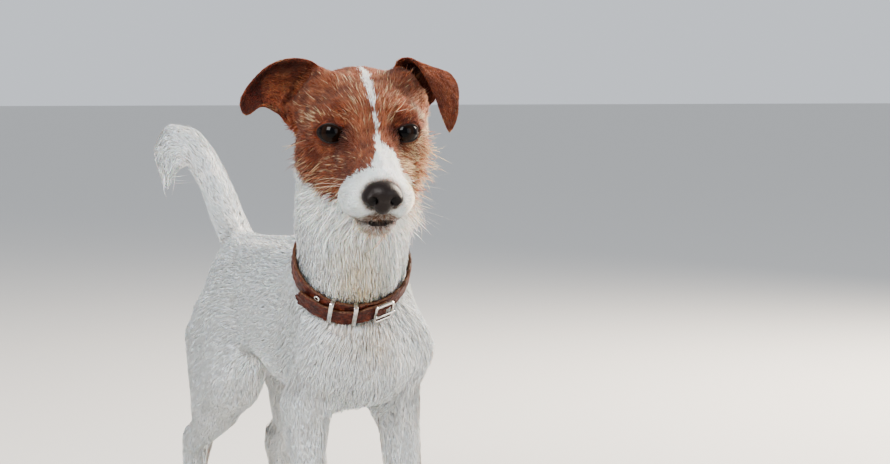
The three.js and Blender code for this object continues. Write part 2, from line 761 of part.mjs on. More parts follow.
// ---------------------------------------------------------------- materials
const finish = (color, roughness, metalness = 0) =>
  new THREE.MeshStandardMaterial({ color, roughness, metalness, flatShading: true });
const whiteCoat = finish(0xe6e1d6, 0.9);
const tanCoat = finish(0xa8683c, 0.9);
const earCoat = finish(0x9a5830, 0.85);
const noseLeather = finish(0x17171a, 0.35);
const eyeGloss = finish(0x0d0a08, 0.05);
const clawHorn = finish(0x3a322c, 0.5);
const collarLeather = finish(0x7d4a2c, 0.7);
const steel = finish(0xc9c6c0, 0.25, 1);

// ---------------------------------------------------------------- assembly
const dog = new THREE.Group();

/** Head, ears, eyes and nose; the eyes and nose keep the head's own axes. */
function addHead() {
  const features = new THREE.Group();
  features.applyMatrix4(headFrame);
  dog.add(features);
  let head = flesh(...HEAD_BOX, STEP.head).intersect(cell([PLANES.head]));
  const clearance = solidOf(surfaceOf((x, y, z) => body(x, y, z) - SKIN_GAP, ...HEAD_BOX, STEP.head));
  for (const [name, ear] of Object.entries(EARS)) {
    addSolid(name, earSolid(ear).subtract(clearance), earCoat);
  }
  for (const [name, side] of Object.entries(SIDES)) {
    const place = [(side * HEAD.eyeSpacing) / 2, 0, 0];
    const eyeball = new THREE.SphereGeometry(EYE_RADIUS, 14, 9);
    addMesh(features, `eye_${name}`, eyeball, eyeGloss).position.set(...place);
    const socket = new THREE.SphereGeometry(EYE_RADIUS + 2 * CUT_GAP, 12, 8).translate(...place);
    head = head.subtract(solidOf(socket, headFrame));
  }
  addMesh(features, "nose", surfaceOf(noseField, ...NOSE_BOX, STEP.nose), noseLeather);
  const nosePocket = surfaceOf((x, y, z) => noseBlock(x, y, z) - 2 * SKIN_GAP, ...NOSE_BOX, 6);
  head = head.subtract(solidOf(nosePocket, headFrame));
  addSolid("head", head, tanCoat);
}

/** The torso, tail, legs, paws and claws. */
function addBody() {
  addSolid("neck", neckSolid(), whiteCoat);
  addSolid("trunk", trunkSolid(), whiteCoat);
  addSolid("tail", tailSolid(), whiteCoat);
  for (const [name, stance] of Object.entries(STANCE)) {
    addSolid(`leg_${name}`, legSolid(stance), whiteCoat);
    addSolid(`paw_${name}`, pawSolid(stance), whiteCoat);
    addClaws(name, stance);
  }
}

/** The four claws of a foot, cut off where they leave the ends of its toes. */
function addClaws(name, stance) {
  const toes = solidOf(surfaceOf((x, y, z) => body(x, y, z) - SKIN_GAP, ...pawBox(stance), STEP.paw));
  const foot = footFrame(stance.side, stance.joints);
  TOES.forEach((toe, row) => {
    for (const [sideName, s] of Object.entries(SIDES)) {
      const seat = at(s * (toe.x + toe.splay) * footWidth(stance.front), toe.y - toe.reach - 2, 9.5);
      const place = new Matrix4().makeRotationZ(MathUtils.degToRad(s * toe.splay * 5)).setPosition(seat);
      const claw = solidOf(clawGeometry(), foot.clone().multiply(place)).subtract(toes);
      addSolid(`claw_${name}_${row ? "outer" : "inner"}_${sideName}`, claw, clawHorn);
    }
  });
}

/** The collar: band, loose end, buckle with its prong, two keepers and an eyelet. */
function addCollar() {
  const collar = new THREE.Group();
  collar.applyMatrix4(collarFrame);
  dog.add(collar);
  addMesh(collar, "collar_band", bandGeometry(), collarLeather);
  addMesh(collar, "collar_loose_end", looseEndGeometry(), collarLeather);
  COLLAR.keepersAt.forEach((angle, i) => {
    const keeper = addMesh(collar, `collar_keeper_${i + 1}`, keeperGeometry(angle), steel);
    seat(keeper, angle, keeperRadius, sagAt(angle) / 2);
  });
  const onTop = endRadius + COLLAR.thickness + CUT_GAP;
  const wall = COLLAR.buckleWall;
  const buckle = metalFrame(COLLAR.buckleOpening, buckleSize.height - 2 * wall, wall, wall);
  buckle.rotateY(Math.PI / 2);
  seat(addMesh(collar, "collar_buckle", buckle, steel), COLLAR.buckleAt, onTop + wall / 2);
  const { prong, eyelet } = COLLAR;
  const pin = new THREE.CapsuleGeometry(prong.radius, prong.length, 2, 6).rotateX(Math.PI / 2);
  const pinRadius = onTop + wall + prong.radius + CUT_GAP;
  seat(addMesh(collar, "collar_prong", pin, steel), COLLAR.buckleAt, pinRadius);
  const ring = new THREE.TorusGeometry(eyelet.radius, eyelet.wire, 5, 10).rotateY(Math.PI / 2);
  const ringRadius = outerRadius + eyelet.wire + CUT_GAP;
  seat(addMesh(collar, "collar_eyelet", ring, steel), eyelet.angle, ringRadius, -eyelet.height);
}

addHead();
addBody();
addCollar();

// The origin goes on the floor, under the middle of the whole animal.
const extent = new THREE.Box3().setFromObject(dog, true);
const middle = extent.getCenter(at(0, 0, 0));
dog.position.set(-middle.x, -middle.y, FLOOR - extent.min.z);

export default dog;
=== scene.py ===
"""The looks of a standing rough-coated terrier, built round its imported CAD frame.

One skin takes the place of the solid flesh. The coat lies over it in tufts, and the eyes,
nose, whiskers, claws and collar are pieces of their own. Lengths are in millimetres in the
axes of the frame until a mesh is made.
"""

import logging
import math
from dataclasses import dataclass, field
from enum import Enum

import bmesh
import bpy
import numpy as np
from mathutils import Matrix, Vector
from mathutils.bvhtree import BVHTree
from mathutils.kdtree import KDTree


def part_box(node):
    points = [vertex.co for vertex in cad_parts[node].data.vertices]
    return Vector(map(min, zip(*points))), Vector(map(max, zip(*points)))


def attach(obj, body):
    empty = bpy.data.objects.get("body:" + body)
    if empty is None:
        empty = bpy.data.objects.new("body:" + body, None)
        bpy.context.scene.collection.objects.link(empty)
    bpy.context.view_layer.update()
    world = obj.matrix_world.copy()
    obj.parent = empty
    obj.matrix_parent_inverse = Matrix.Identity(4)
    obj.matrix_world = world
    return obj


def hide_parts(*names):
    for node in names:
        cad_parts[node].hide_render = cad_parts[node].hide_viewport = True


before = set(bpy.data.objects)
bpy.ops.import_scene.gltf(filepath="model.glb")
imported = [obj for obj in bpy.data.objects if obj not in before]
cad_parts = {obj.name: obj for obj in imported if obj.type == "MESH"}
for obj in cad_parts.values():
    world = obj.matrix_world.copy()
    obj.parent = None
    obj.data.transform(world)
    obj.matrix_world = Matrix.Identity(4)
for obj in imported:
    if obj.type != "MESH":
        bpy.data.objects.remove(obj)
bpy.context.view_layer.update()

logging.basicConfig(level=logging.INFO, format="%(message)s")
log = logging.getLogger("terrier")

MM = 0.001
ROOT = "root"
LEFT, RIGHT = 1.0, -1.0
Array = np.ndarray
Pair = tuple[Array, Array]
Values = dict[str, Array]
Place = tuple[float, float, float]
Color = tuple[float, float, float, float]
Mesh = bpy.types.Mesh
Object = bpy.types.Object
Material = bpy.types.Material
Node = bpy.types.Node
NodeTree = bpy.types.NodeTree
Socket = bpy.types.NodeSocket
BMesh = bmesh.types.BMesh


# ---------------- arithmetic
def unit(vectors: Array) -> Array:
    """Returns the vectors at length one."""
    return vectors / np.maximum(np.linalg.norm(vectors, axis=-1, keepdims=True), 1e-9)


def smoothstep(value: Array, low: float, high: float) -> Array:
    """Returns 0 below low, 1 above high and a smooth ramp between."""
    t = np.clip((value - low) / (high - low), 0, 1)
    return t * t * (3 - 2 * t)


def to_segment(points: Array, start: Array, end: Array) -> Pair:
    """Measures points against a straight segment.

    Args:
        points: Places, one row each.
        start: One end of the segment.
        end: The other end.

    Returns:
        The distance of each point, and how far along the segment its nearest place is.
    """
    start, end = np.asarray(start, float), np.asarray(end, float)
    along = end - start
    t = np.clip((points - start) @ along / max(along @ along, 1e-9), 0, 1)
    return np.linalg.norm(points - start - t[:, None] * along, axis=1), t


def to_line(points: Array, line: list) -> Array:
    """Returns the distance of each point from a line of straight segments."""
    return np.min([to_segment(points, a, b)[0] for a, b in zip(line, line[1:])], axis=0)


def bell(distance: Array, width: Array | float) -> Array:
    """Returns 1 at no distance and a third at the width, falling smoothly."""
    return np.exp(-((distance / width) ** 2))


def nearness(points: Array, centre: tuple, radii: tuple) -> Array:
    """Returns how far points are from the middle of an ellipsoid, 1 on its surface."""
    return np.linalg.norm((points - centre) / radii, axis=1)


def inside(points: Array, centre: tuple, radii: tuple, low: float, high: float) -> Array:
    """Returns 1 where the nearness to an ellipsoid is below low, and 0 where it is above high."""
    return 1 - smoothstep(nearness(points, centre, radii), low, high)


def turned(vectors: Array, towards: Array, angle: Array) -> Array:
    """Returns directions turned by an angle towards others that stand square to them."""
    return vectors * np.cos(angle)[:, None] + towards * np.sin(angle)[:, None]


def grid(across: Array, along: Array) -> Pair:
    """Returns every pair of two lists of numbers, the first running fastest."""
    u, v = np.meshgrid(across, along)
    return u.ravel(), v.ravel()


def through(line: Array, t: Array) -> Array:
    """Finds points on a Catmull-Rom curve through the given points.

    Args:
        line: The points it passes through, one row each.
        t: Places along it from 0 to 1.

    Returns:
        One row for each place.
    """
    line = np.asarray(line, float)
    padded = np.vstack([2 * line[0] - line[1], line, 2 * line[-1] - line[-2]])
    place = np.clip(t, 0, 1) * (len(line) - 1)
    i = np.minimum(place.astype(int), len(line) - 2)
    f = (place - i)[:, None]
    a, b, c, d = (padded[i + k] for k in range(4))
    return 0.5 * (2 * b + (c - a) * f + (2 * a - 5 * b + 4 * c - d) * f**2 + (3 * b - a - 3 * c + d) * f**3)


class Waves:
    """Smooth noise that is the same on every run: sine waves in fixed directions."""

    def __init__(self, scale: float, seed: int, count: int = 10) -> None:
        """Draws the waves.

        Args:
            scale: Length of a typical wave.
            seed: Seed of the directions and phases.
            count: Number of waves.
        """
        rng = np.random.default_rng(seed)
        turns = unit(rng.normal(size=(count, 3))) * rng.uniform(0.6, 1.7, (count, 1))
        self.turns = turns * (2 * math.pi / scale)
        self.phases = rng.uniform(0, 2 * math.pi, count)

    def __call__(self, points: Array) -> Array:
        """Returns the noise at the points, about -2 to 2 and mostly within 1 of zero."""
        return np.sin(points @ self.turns.T + self.phases).sum(1) / math.sqrt(len(self.phases) / 2)


@dataclass(frozen=True)
class Axes:
    """Right-handed axes at a place in the frame: the rows are their X, Y and Z."""

    origin: Array
    rows: Array

    def local(self, points: Array) -> Array:
        """Returns places in these axes."""
        return (np.asarray(points, float) - self.origin) @ self.rows.T

    def world(self, points: Array) -> Array:
        """Returns places in these axes as places in the frame."""
        return np.asarray(points, float) @ self.rows + self.origin

    def turned(self, vectors: Array) -> Array:
        """Returns directions in these axes as directions in the frame."""
        return np.asarray(vectors, float) @ self.rows


def box_of(node: str) -> Pair:
    """Returns the lowest and highest corner of a CAD node."""
    low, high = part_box(node)
    return np.array(low) / MM, np.array(high) / MM


def middle_of(node: str) -> Array:
    """Returns the middle of a CAD node's box."""
    return np.mean(box_of(node), axis=0)


# ---------------- axes of the dog
HEAD_YAW, HEAD_PITCH = math.radians(-18.5), math.radians(18.5)
EYE_RADIUS = 10.5
ENDS = [f"{end}_{side}" for end in ("front", "hind") for side in ("left", "right")]
FLESH = ["head", "neck", "trunk", "tail", "ear_left", "ear_right"]
FLESH += [f"{part}_{end}" for part in ("leg", "paw") for end in ENDS]


def head_axes() -> Axes:
    """Finds the head's axes.

    Returns:
        Axes midway between the eyes: X to the dog's left, -Y down the nose.
    """
    eyes = (middle_of("eye_left") + middle_of("eye_right")) / 2
    c, s = math.cos(HEAD_YAW), math.sin(HEAD_YAW)
    cp, sp = math.cos(HEAD_PITCH), math.sin(HEAD_PITCH)
    return Axes(eyes, np.array([[c, s, 0], [-s * cp, c * cp, sp], [s * sp, -c * sp, cp]]))


def upright_axes() -> Axes:
    """Returns the head's place and yaw without its pitch, which the ears are set in."""
    c, s = math.cos(HEAD_YAW), math.sin(HEAD_YAW)
    return Axes(HEAD.origin, np.array([[c, s, 0], [-s, c, 0], [0, 0, 1]]))


def collar_axes() -> Axes:
    """Finds the collar's axes.

    Returns:
        Axes in the middle of the band: Y up the neck, Z to the front, X to the dog's left.
    """
    up = unit(np.array([-0.25, -0.715, 0.65]))
    front = np.array([-0.4, -1, -0.6])
    front = unit(front - up * (front @ up))
    return Axes(BODY.world([-13.3, -87, 253]), np.array([np.cross(up, front), up, front]))


BODY = Axes(np.array([29.56, 10.54, 0.0]), np.eye(3))  # the body's own middle plane is X = 0
HEAD = head_axes()
UPRIGHT = upright_axes()
COLLAR = collar_axes()
COLLAR_RADIUS, COLLAR_HALF = 43.2, 7.5  # inside the band, and half its width
COLLAR_SAG, SAG_ANGLES = 6.5, (-14, 24)  # how far the loose end sinks, and where round the neck it does


def in_collar(points: Array) -> Pair:
    """Returns places in the collar's axes, and their distance from the middle of the neck."""
    local = COLLAR.local(points)
    return local, np.hypot(local[:, 0], local[:, 2])


# ---------------- meshes
def linked(made: Object) -> Object:
    """Puts an object in the scene and returns it."""
    bpy.context.scene.collection.objects.link(made)
    return made


def object_of(shell: BMesh, name: str, smooth: bool = True) -> Object:
    """Makes an object of a bmesh, and frees it.

    Args:
        shell: The bmesh.
        name: The object's name.
        smooth: Whether it is shaded smooth.

    Returns:
        The object, linked to the scene.
    """
    mesh = bpy.data.meshes.new(name)
    shell.to_mesh(mesh)
    shell.free()
    mesh.polygons.foreach_set("use_smooth", np.full(len(mesh.polygons), smooth))
    return linked(bpy.data.objects.new(name, mesh))


def store(mesh: Mesh, name: str, values: Array) -> None:
    """Keeps one number for each point of a mesh under a name."""
    layer = mesh.attributes.new(name, "FLOAT", "POINT")
    layer.data.foreach_set("value", np.ascontiguousarray(values, np.float32))


def stacked(parts: list[Pair]) -> Pair:
    """Joins meshes.

    Args:
        parts: The points and faces of each.

    Returns:
        The points and faces of all.
    """
    bases = np.cumsum([0] + [len(points) for points, _ in parts])
    faces = [faces + base for (_, faces), base in zip(parts, bases)]
    return np.vstack([points for points, _ in parts]), np.vstack(faces)


def tube_faces(rows: int, around: int, closed: bool = False) -> Array:
    """Makes the triangles between rings of points.

    Args:
        rows: Number of rings.
        around: Number of points in each.
        closed: Whether the last ring meets the first.

    Returns:
        The triangles.
    """
    k, step = grid(np.arange(around), np.arange(rows if closed else rows - 1))
    turn, after = (k + 1) % around, (step + 1) % rows
    corners = (step, k), (step, turn), (after, turn), (after, k)
    a, b, c, d = (ring * around + place for ring, place in corners)
    return np.vstack([np.stack([a, b, c], 1), np.stack([a, c, d], 1)])


def new_object(name: str, points: Array, faces: Array, smooth: bool = True) -> Object:
    """Makes a mesh object from arrays.

    Args:
        name: Its name.
        points: Places in millimetres, one row each.
        faces: Corners of its triangles or quads, one row each.
        smooth: Whether it is shaded smooth.

    Returns:
        The object, linked to the scene.
    """
    mesh = bpy.data.meshes.new(name)
    mesh.vertices.add(len(points))
    mesh.vertices.foreach_set("co", np.ascontiguousarray(points * MM, np.float32).ravel())
    size = faces.shape[1]
    mesh.loops.add(faces.size)
    mesh.loops.foreach_set("vertex_index", np.ascontiguousarray(faces, np.int32).ravel())
    mesh.polygons.add(len(faces))
    mesh.polygons.foreach_set("loop_start", np.arange(0, faces.size, size, dtype=np.int32))
    mesh.update(calc_edges=True)
    mesh.validate()
    mesh.polygons.foreach_set("use_smooth", np.full(len(mesh.polygons), smooth))
    return linked(bpy.data.objects.new(name, mesh))


def arrays_of(mesh: Mesh) -> Pair:
    """Reads a mesh.

    Args:
        mesh: The mesh.

    Returns:
        Its places in millimetres, and its triangles.
    """
    points = np.zeros(len(mesh.vertices) * 3, np.float32)
    mesh.vertices.foreach_get("co", points)
    mesh.calc_loop_triangles()
    triangles = np.zeros(len(mesh.loop_triangles) * 3, np.int32)
    mesh.loop_triangles.foreach_get("vertices", triangles)
    return points.reshape(-1, 3).astype(float) / MM, triangles.reshape(-1, 3)


def merged_shell(node: str) -> BMesh:
    """Copies a CAD node's surface.

    Args:
        node: The node's name.

    Returns:
        The copy, with its loose triangles joined.
    """
    shell = bmesh.new()
    shell.from_mesh(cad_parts[node].data)
    bmesh.ops.remove_doubles(shell, verts=shell.verts, dist=1e-5)
    bmesh.ops.recalc_face_normals(shell, faces=shell.faces)
    return shell


def arrays_and_free(shell: BMesh) -> Pair:
    """Reads a bmesh and frees it.

    Args:
        shell: The bmesh.

    Returns:
        Its places in millimetres, and its triangles.
    """
    copy = bpy.data.meshes.new("copy")
    shell.to_mesh(copy)
    shell.free()
    found = arrays_of(copy)
    bpy.data.meshes.remove(copy)
    return found


def face_normals(points: Array, faces: Array) -> Array:
    """Returns the normals of triangles, each as long as twice its area."""
    a, b, c = (points[faces[:, k]] for k in range(3))
    return np.cross(b - a, c - a)


def vertex_normals(points: Array, faces: Array) -> Array:
    """Finds the normals at the points of a triangle mesh.

    Args:
        points: Its points.
        faces: Its triangles.

    Returns:
        One unit normal for each point.
    """
    count = len(points)
    columns = face_normals(points, faces).T
    total = [sum(np.bincount(faces[:, k], column, count) for k in range(3)) for column in columns]
    return unit(np.stack(total, axis=1))


class Net:
    """The neighbours in a mesh, for averaging over them."""

    def __init__(self, faces: Array, count: int) -> None:
        """Collects the edges.

        Args:
            faces: Corners of the triangles.
            count: Number of points.
        """
        pairs = np.sort(np.vstack([faces[:, [0, 1]], faces[:, [1, 2]], faces[:, [2, 0]]]), axis=1)
        code = np.unique(pairs[:, 0].astype(np.int64) * count + pairs[:, 1])
        self.a, self.b, self.count = code // count, code % count, count
        self.degree = np.maximum(np.bincount(self.a, None, count) + np.bincount(self.b, None, count), 1)

    def mean(self, values: Array) -> Array:
        """Averages over the neighbours of each point.

        Args:
            values: One number or row for each point.

        Returns:
            The mean at each point.
        """
        a, b, n = self.a, self.b, self.count
        columns = values if values.ndim == 2 else values[:, None]
        total = [np.bincount(a, column[b], n) + np.bincount(b, column[a], n) for column in columns.T]
        return (np.stack(total, axis=1) / self.degree[:, None]).reshape(values.shape)

    def relax(self, values: Array, pull: Array | float, rounds: int) -> Array:
        """Moves values towards the mean of their neighbours.

        Args:
            values: One row for each point.
            pull: How far they move each round, from 0 to 1, for all or for each.
            rounds: Number of rounds.

        Returns:
            The relaxed values.
        """
        for _ in range(rounds):
            values = values + pull * (self.mean(values) - values)
        return values

    def islands(self) -> Array:
        """Finds which points hang together.

        Returns:
            A label for each point, the same over all that do.
        """
        label = np.arange(self.count)
        while True:
            low = np.minimum(label[self.a], label[self.b])
            fresh = label.copy()
            np.minimum.at(fresh, label[self.a], low)
            np.minimum.at(fresh, label[self.b], low)
            fresh = fresh[fresh]
            if (fresh == label).all():
                return label
            label = fresh[fresh]


def keep_points(keep: Array, faces: Array) -> Array:
    """Returns the faces on kept points only, renumbered."""
    number = np.cumsum(keep) - 1
    return number[faces[keep[faces].all(1)]]


# ---------------- the coat's zones
@dataclass(frozen=True)
class Hair:
    """One kind of coat."""

    length: float
    width: float
    depth: float  # how thick the coat lies on the skin
    rise: float  # how far loose tips stand above it
    cover: float = 3.2  # how many tufts lie over each other


class Kind(Enum):
    """The kinds of coat on the dog."""

    MUZZLE = Hair(4.6, 0.40, 1.6, 0.7, 3.4)
    FACE = Hair(6.2, 0.38, 2.2, 0.8, 3.4)
    LID = Hair(3.4, 0.34, 0.9, 0.6, 3.0)
    BROW = Hair(9.5, 0.38, 2.6, 3.4, 3.4)
    FOREHEAD = Hair(8.5, 0.38, 2.8, 0.8, 3.4)
    CHEEK = Hair(12.0, 0.42, 4.4, 6.5, 3.4)
    JAW = Hair(16.5, 0.44, 4.6, 8.0, 3.2)
    CHIN = Hair(8.5, 0.40, 2.6, 3.0, 3.4)
    LIP = Hair(3.4, 0.36, 1.0, 0.5, 2.8)
    THROAT = Hair(14.0, 0.50, 5.8, 1.2, 3.2)
    NECK = Hair(13.0, 0.48, 5.8, 0.25, 3.1)
    CHEST = Hair(14.0, 0.52, 6.2, 0.6, 3.1)
    BODY = Hair(11.0, 0.55, 4.8, 0.15, 3.0)
    BELLY = Hair(13.0, 0.65, 5.4, 1.2, 2.8)
    LEG = Hair(8.5, 0.52, 3.3, 0.25, 3.0)
    SHANK = Hair(7.0, 0.50, 2.6, 0.4, 3.0)
    PAW = Hair(4.8, 0.45, 1.4, 0.3, 3.0)
    TAIL = Hair(11.0, 0.52, 4.3, 0.6, 3.0)
    TIP = Hair(19.0, 0.50, 4.6, 4.0, 3.6)
    EAR = Hair(4.4, 0.38, 1.0, 0.45, 3.0)


@dataclass(frozen=True)
class Zone:
    """A stretch of coat round a segment, with the way that it lies."""

    kind: Kind
    start: Place
    end: Place
    reach: float
    flow: Place
    single: bool = False  # on the middle plane or on one side only


HEAD_ZONES = [
    Zone(Kind.MUZZLE, (0, -66, -12), (0, -40, -3), 13, (0, 1, 0.25), single=True),
    Zone(Kind.MUZZLE, (10, -64, -30), (17, -44, -28), 14, (0.45, 1, -0.3)),
    Zone(Kind.MUZZLE, (11, -66, -38), (17, -54, -41), 6, (0.7, 0.6, -0.6)),
    Zone(Kind.LIP, (2, -70, -36), (8, -68, -41), 5, (1, 0.35, -0.35)),
    Zone(Kind.LIP, (2, -68, -49), (10, -64, -49), 3.5, (0.9, 0.4, -0.5)),
    Zone(Kind.FACE, (0, -30, 2), (0, -8, 10), 13, (0, 0.8, 0.45), single=True),
    Zone(Kind.FACE, (18, -30, -14), (24, -16, -22), 14, (0.5, 1, -0.4)),
    Zone(Kind.LID, (22, -12, -11), (34, -8, -10), 7, (0.6, 0.5, -0.7)),
    Zone(Kind.LID, (20, -13, 10), (33, -8, 11), 5, (0.6, 0.1, 0.9)),
    Zone(Kind.BROW, (19, -12, 17), (33, -7, 18), 7, (0.8, -0.35, 0.7)),
    Zone(Kind.FACE, (38, 2, 2), (42, 14, 4), 9, (0.3, 1, 0)),
    Zone(Kind.FOREHEAD, (8, 2, 28), (12, 44, 38), 18, (0.22, 1, 0.1)),
    Zone(Kind.FOREHEAD, (30, 12, 24), (38, 34, 18), 14, (0.5, 1, 0.2)),
    Zone(Kind.FOREHEAD, (0, 62, 24), (0, 72, 0), 18, (0, 0.7, -0.9), single=True),
    Zone(Kind.CHEEK, (36, 6, -20), (40, 36, -18), 17, (0.35, 0.8, -0.65)),
    Zone(Kind.CHEEK, (26, -14, -34), (34, 4, -36), 12, (0.45, 0.7, -0.75)),
    Zone(Kind.JAW, (22, -30, -46), (28, -6, -52), 12, (0.3, 0.55, -0.9)),
    Zone(Kind.JAW, (14, -14, -62), (22, 16, -58), 14, (0.2, 0.6, -0.9)),
    Zone(Kind.CHIN, (0, -64, -52), (8, -56, -54), 8, (0.1, 0.35, -1)),
    Zone(Kind.JAW, (0, -50, -62), (0, -26, -66), 13, (0, 0.7, -0.8), single=True),
]
BODY_ZONES = [
    Zone(Kind.THROAT, (-28, -122, 268), (-16, -112, 240), 26, (0.12, 0.1, -1), single=True),
    Zone(Kind.NECK, (-52, -90, 280), (-38, -70, 240), 24, (0.2, 0.5, -0.9), single=True),
    Zone(Kind.NECK, (12, -96, 285), (34, -74, 240), 24, (0.25, 0.45, -0.9), single=True),
    Zone(Kind.NECK, (-20, -50, 300), (-8, -20, 268), 26, (0.15, 0.9, -0.5), single=True),
    Zone(Kind.CHEST, (0, -118, 222), (0, -108, 176), 26, (0, 0.2, -1), single=True),
    Zone(Kind.CHEST, (30, -104, 214), (30, -96, 180), 20, (0.15, 0.4, -1)),
    Zone(Kind.BODY, (38, -72, 236), (44, -50, 190), 24, (0.1, 0.7, -0.8)),
    Zone(Kind.BODY, (0, -10, 268), (0, 110, 266), 30, (0, 1, -0.05), single=True),
    Zone(Kind.BODY, (46, -20, 222), (40, 60, 222), 28, (0, 1, -0.3)),
    Zone(Kind.BELLY, (0, -60, 158), (0, 60, 172), 28, (0, 1, -0.15), single=True),
    Zone(Kind.BODY, (40, 60, 192), (34, 96, 204), 24, (0, 1, -0.3)),
    Zone(Kind.BODY, (34, 130, 226), (36, 160, 200), 24, (0.1, 0.6, -0.8)),
    Zone(Kind.BODY, (0, 150, 240), (0, 176, 200), 18, (0, 0.3, -1), single=True),
    Zone(Kind.LEG, (46, 90, 176), (44, 120, 150), 22, (0, 0.35, -1)),
    Zone(Kind.LEG, (36, 168, 170), (36, 150, 130), 18, (0, 0.1, -1)),
]
TAIL_LINE = np.array(
    [(0, 138, 232), (-2, 150, 258), (-9, 167, 292), (-18, 179, 322), (-29, 188, 343)]
    + [(-40, 192, 347), (-49, 194, 335), (-49, 194, 316), (-45, 193, 294)],
    float,
)


@dataclass(frozen=True)
class Leg:
    """One leg's joints, given for the left side."""

    side: float
    joints: tuple
    toe: tuple[float, float]  # the middle of its sole

    def zones(self) -> list[Zone]:
        """Lays the coat's zones down the leg.

        Returns:
            The zones of the leg, the shank and the paw.
        """
        places = [(self.side * x, y, z) for x, y, z in self.joints]
        made = []
        for kind, reach, (a, b) in zip((Kind.LEG, Kind.SHANK), (20, 17), zip(places, places[1:])):
            flow = tuple(np.subtract(b, a) * (1, 0.6, 1))
            made.append(Zone(kind, a, b, reach, flow, single=True))
        x, y = self.side * self.toe[0], self.toe[1]
        made.append(Zone(Kind.PAW, (x, y + 10, 20), (x, y - 10, 10), 11, (0, -1, -0.7), single=True))
        return made


def legs() -> list[Leg]:
    """Places the four legs.

    Returns:
        The legs.
    """
    found = []
    for side, fore, hind in ((LEFT, 4, -8), (RIGHT, -3, 10)):  # how far each paw stands ahead or behind
        front = ((41, -60, 142), (41, -74 - 0.7 * fore, 62), (40, -80 - fore, 26))
        back = ((36, 84, 142), (36, 152 + hind, 80), (38, 150 + hind, 26))
        found += [Leg(side, front, (40, -82 - fore)), Leg(side, back, (38, 148 + hind))]
    return found


class CoatMap:
    """Tells at any place on the skin how the coat lies and of what kind it is."""

    FIELDS = ("length", "width", "depth", "rise", "cover")
    CALM = {Kind.CHEEK: 0.4, Kind.JAW: 0.6}  # the right side's coat is less broken

    def __init__(self) -> None:
        """Places every zone in the frame."""
        self.rows: list[tuple] = []
        self._add(HEAD_ZONES, HEAD)
        self._add(BODY_ZONES, BODY)
        for leg in legs():
            self._add(leg.zones(), BODY)
        places = through(TAIL_LINE, np.linspace(0.16, 1, 9))
        kinds = [Kind.TAIL] * (len(places) - 2) + [Kind.TIP]
        steps = zip(kinds, places, places[1:])
        self._add([Zone(kind, tuple(a), tuple(b), 15, tuple(b - a), True) for kind, a, b in steps], BODY)

    def _add(self, zones: list[Zone], axes: Axes) -> None:
        """Adds zones, and the mirror image of those that come in pairs.

        Args:
            zones: The zones.
            axes: The axes that they are given in.
        """
        for zone in zones:
            for mirror in (1,) if zone.single else (1, -1):
                flip = np.array([mirror, 1, 1])
                ends = axes.world([flip * zone.start, flip * zone.end])
                flow = unit(axes.turned(flip * zone.flow))
                numbers = [getattr(zone.kind.value, name) for name in self.FIELDS]
                numbers[3] *= self.CALM.get(zone.kind, 1.0) if mirror < 0 else 1.0
                self.rows.append((ends[0], ends[1], zone.reach, flow, np.array(numbers)))

    def at(self, points: Array) -> Pair:
        """Blends the zones at places on the skin.

        Args:
            points: The places.

        Returns:
            The way the coat lies at each place, and its numbers in the order of FIELDS.
        """
        away = [(to_segment(points, start, end)[0] / reach) ** 2 for start, end, reach, _, _ in self.rows]
        away = np.stack(away, axis=1)
        weights = np.exp(-2.2 * (away - away.min(1, keepdims=True)))
        weights /= weights.sum(1, keepdims=True)
        flows, numbers = (np.stack([row[k] for row in self.rows]) for k in (3, 4))
        return weights @ flows, weights @ numbers


# ---------------- ears
def lobe_of_ear(u: Array, v: Array) -> Array:
    """Returns how much places across and along an ear are on the fold in its hollow."""
    return smoothstep(u, 0.22, 0.4) * smoothstep(v, 0.2, 0.34) * (1 - smoothstep(v, 0.55, 0.6))


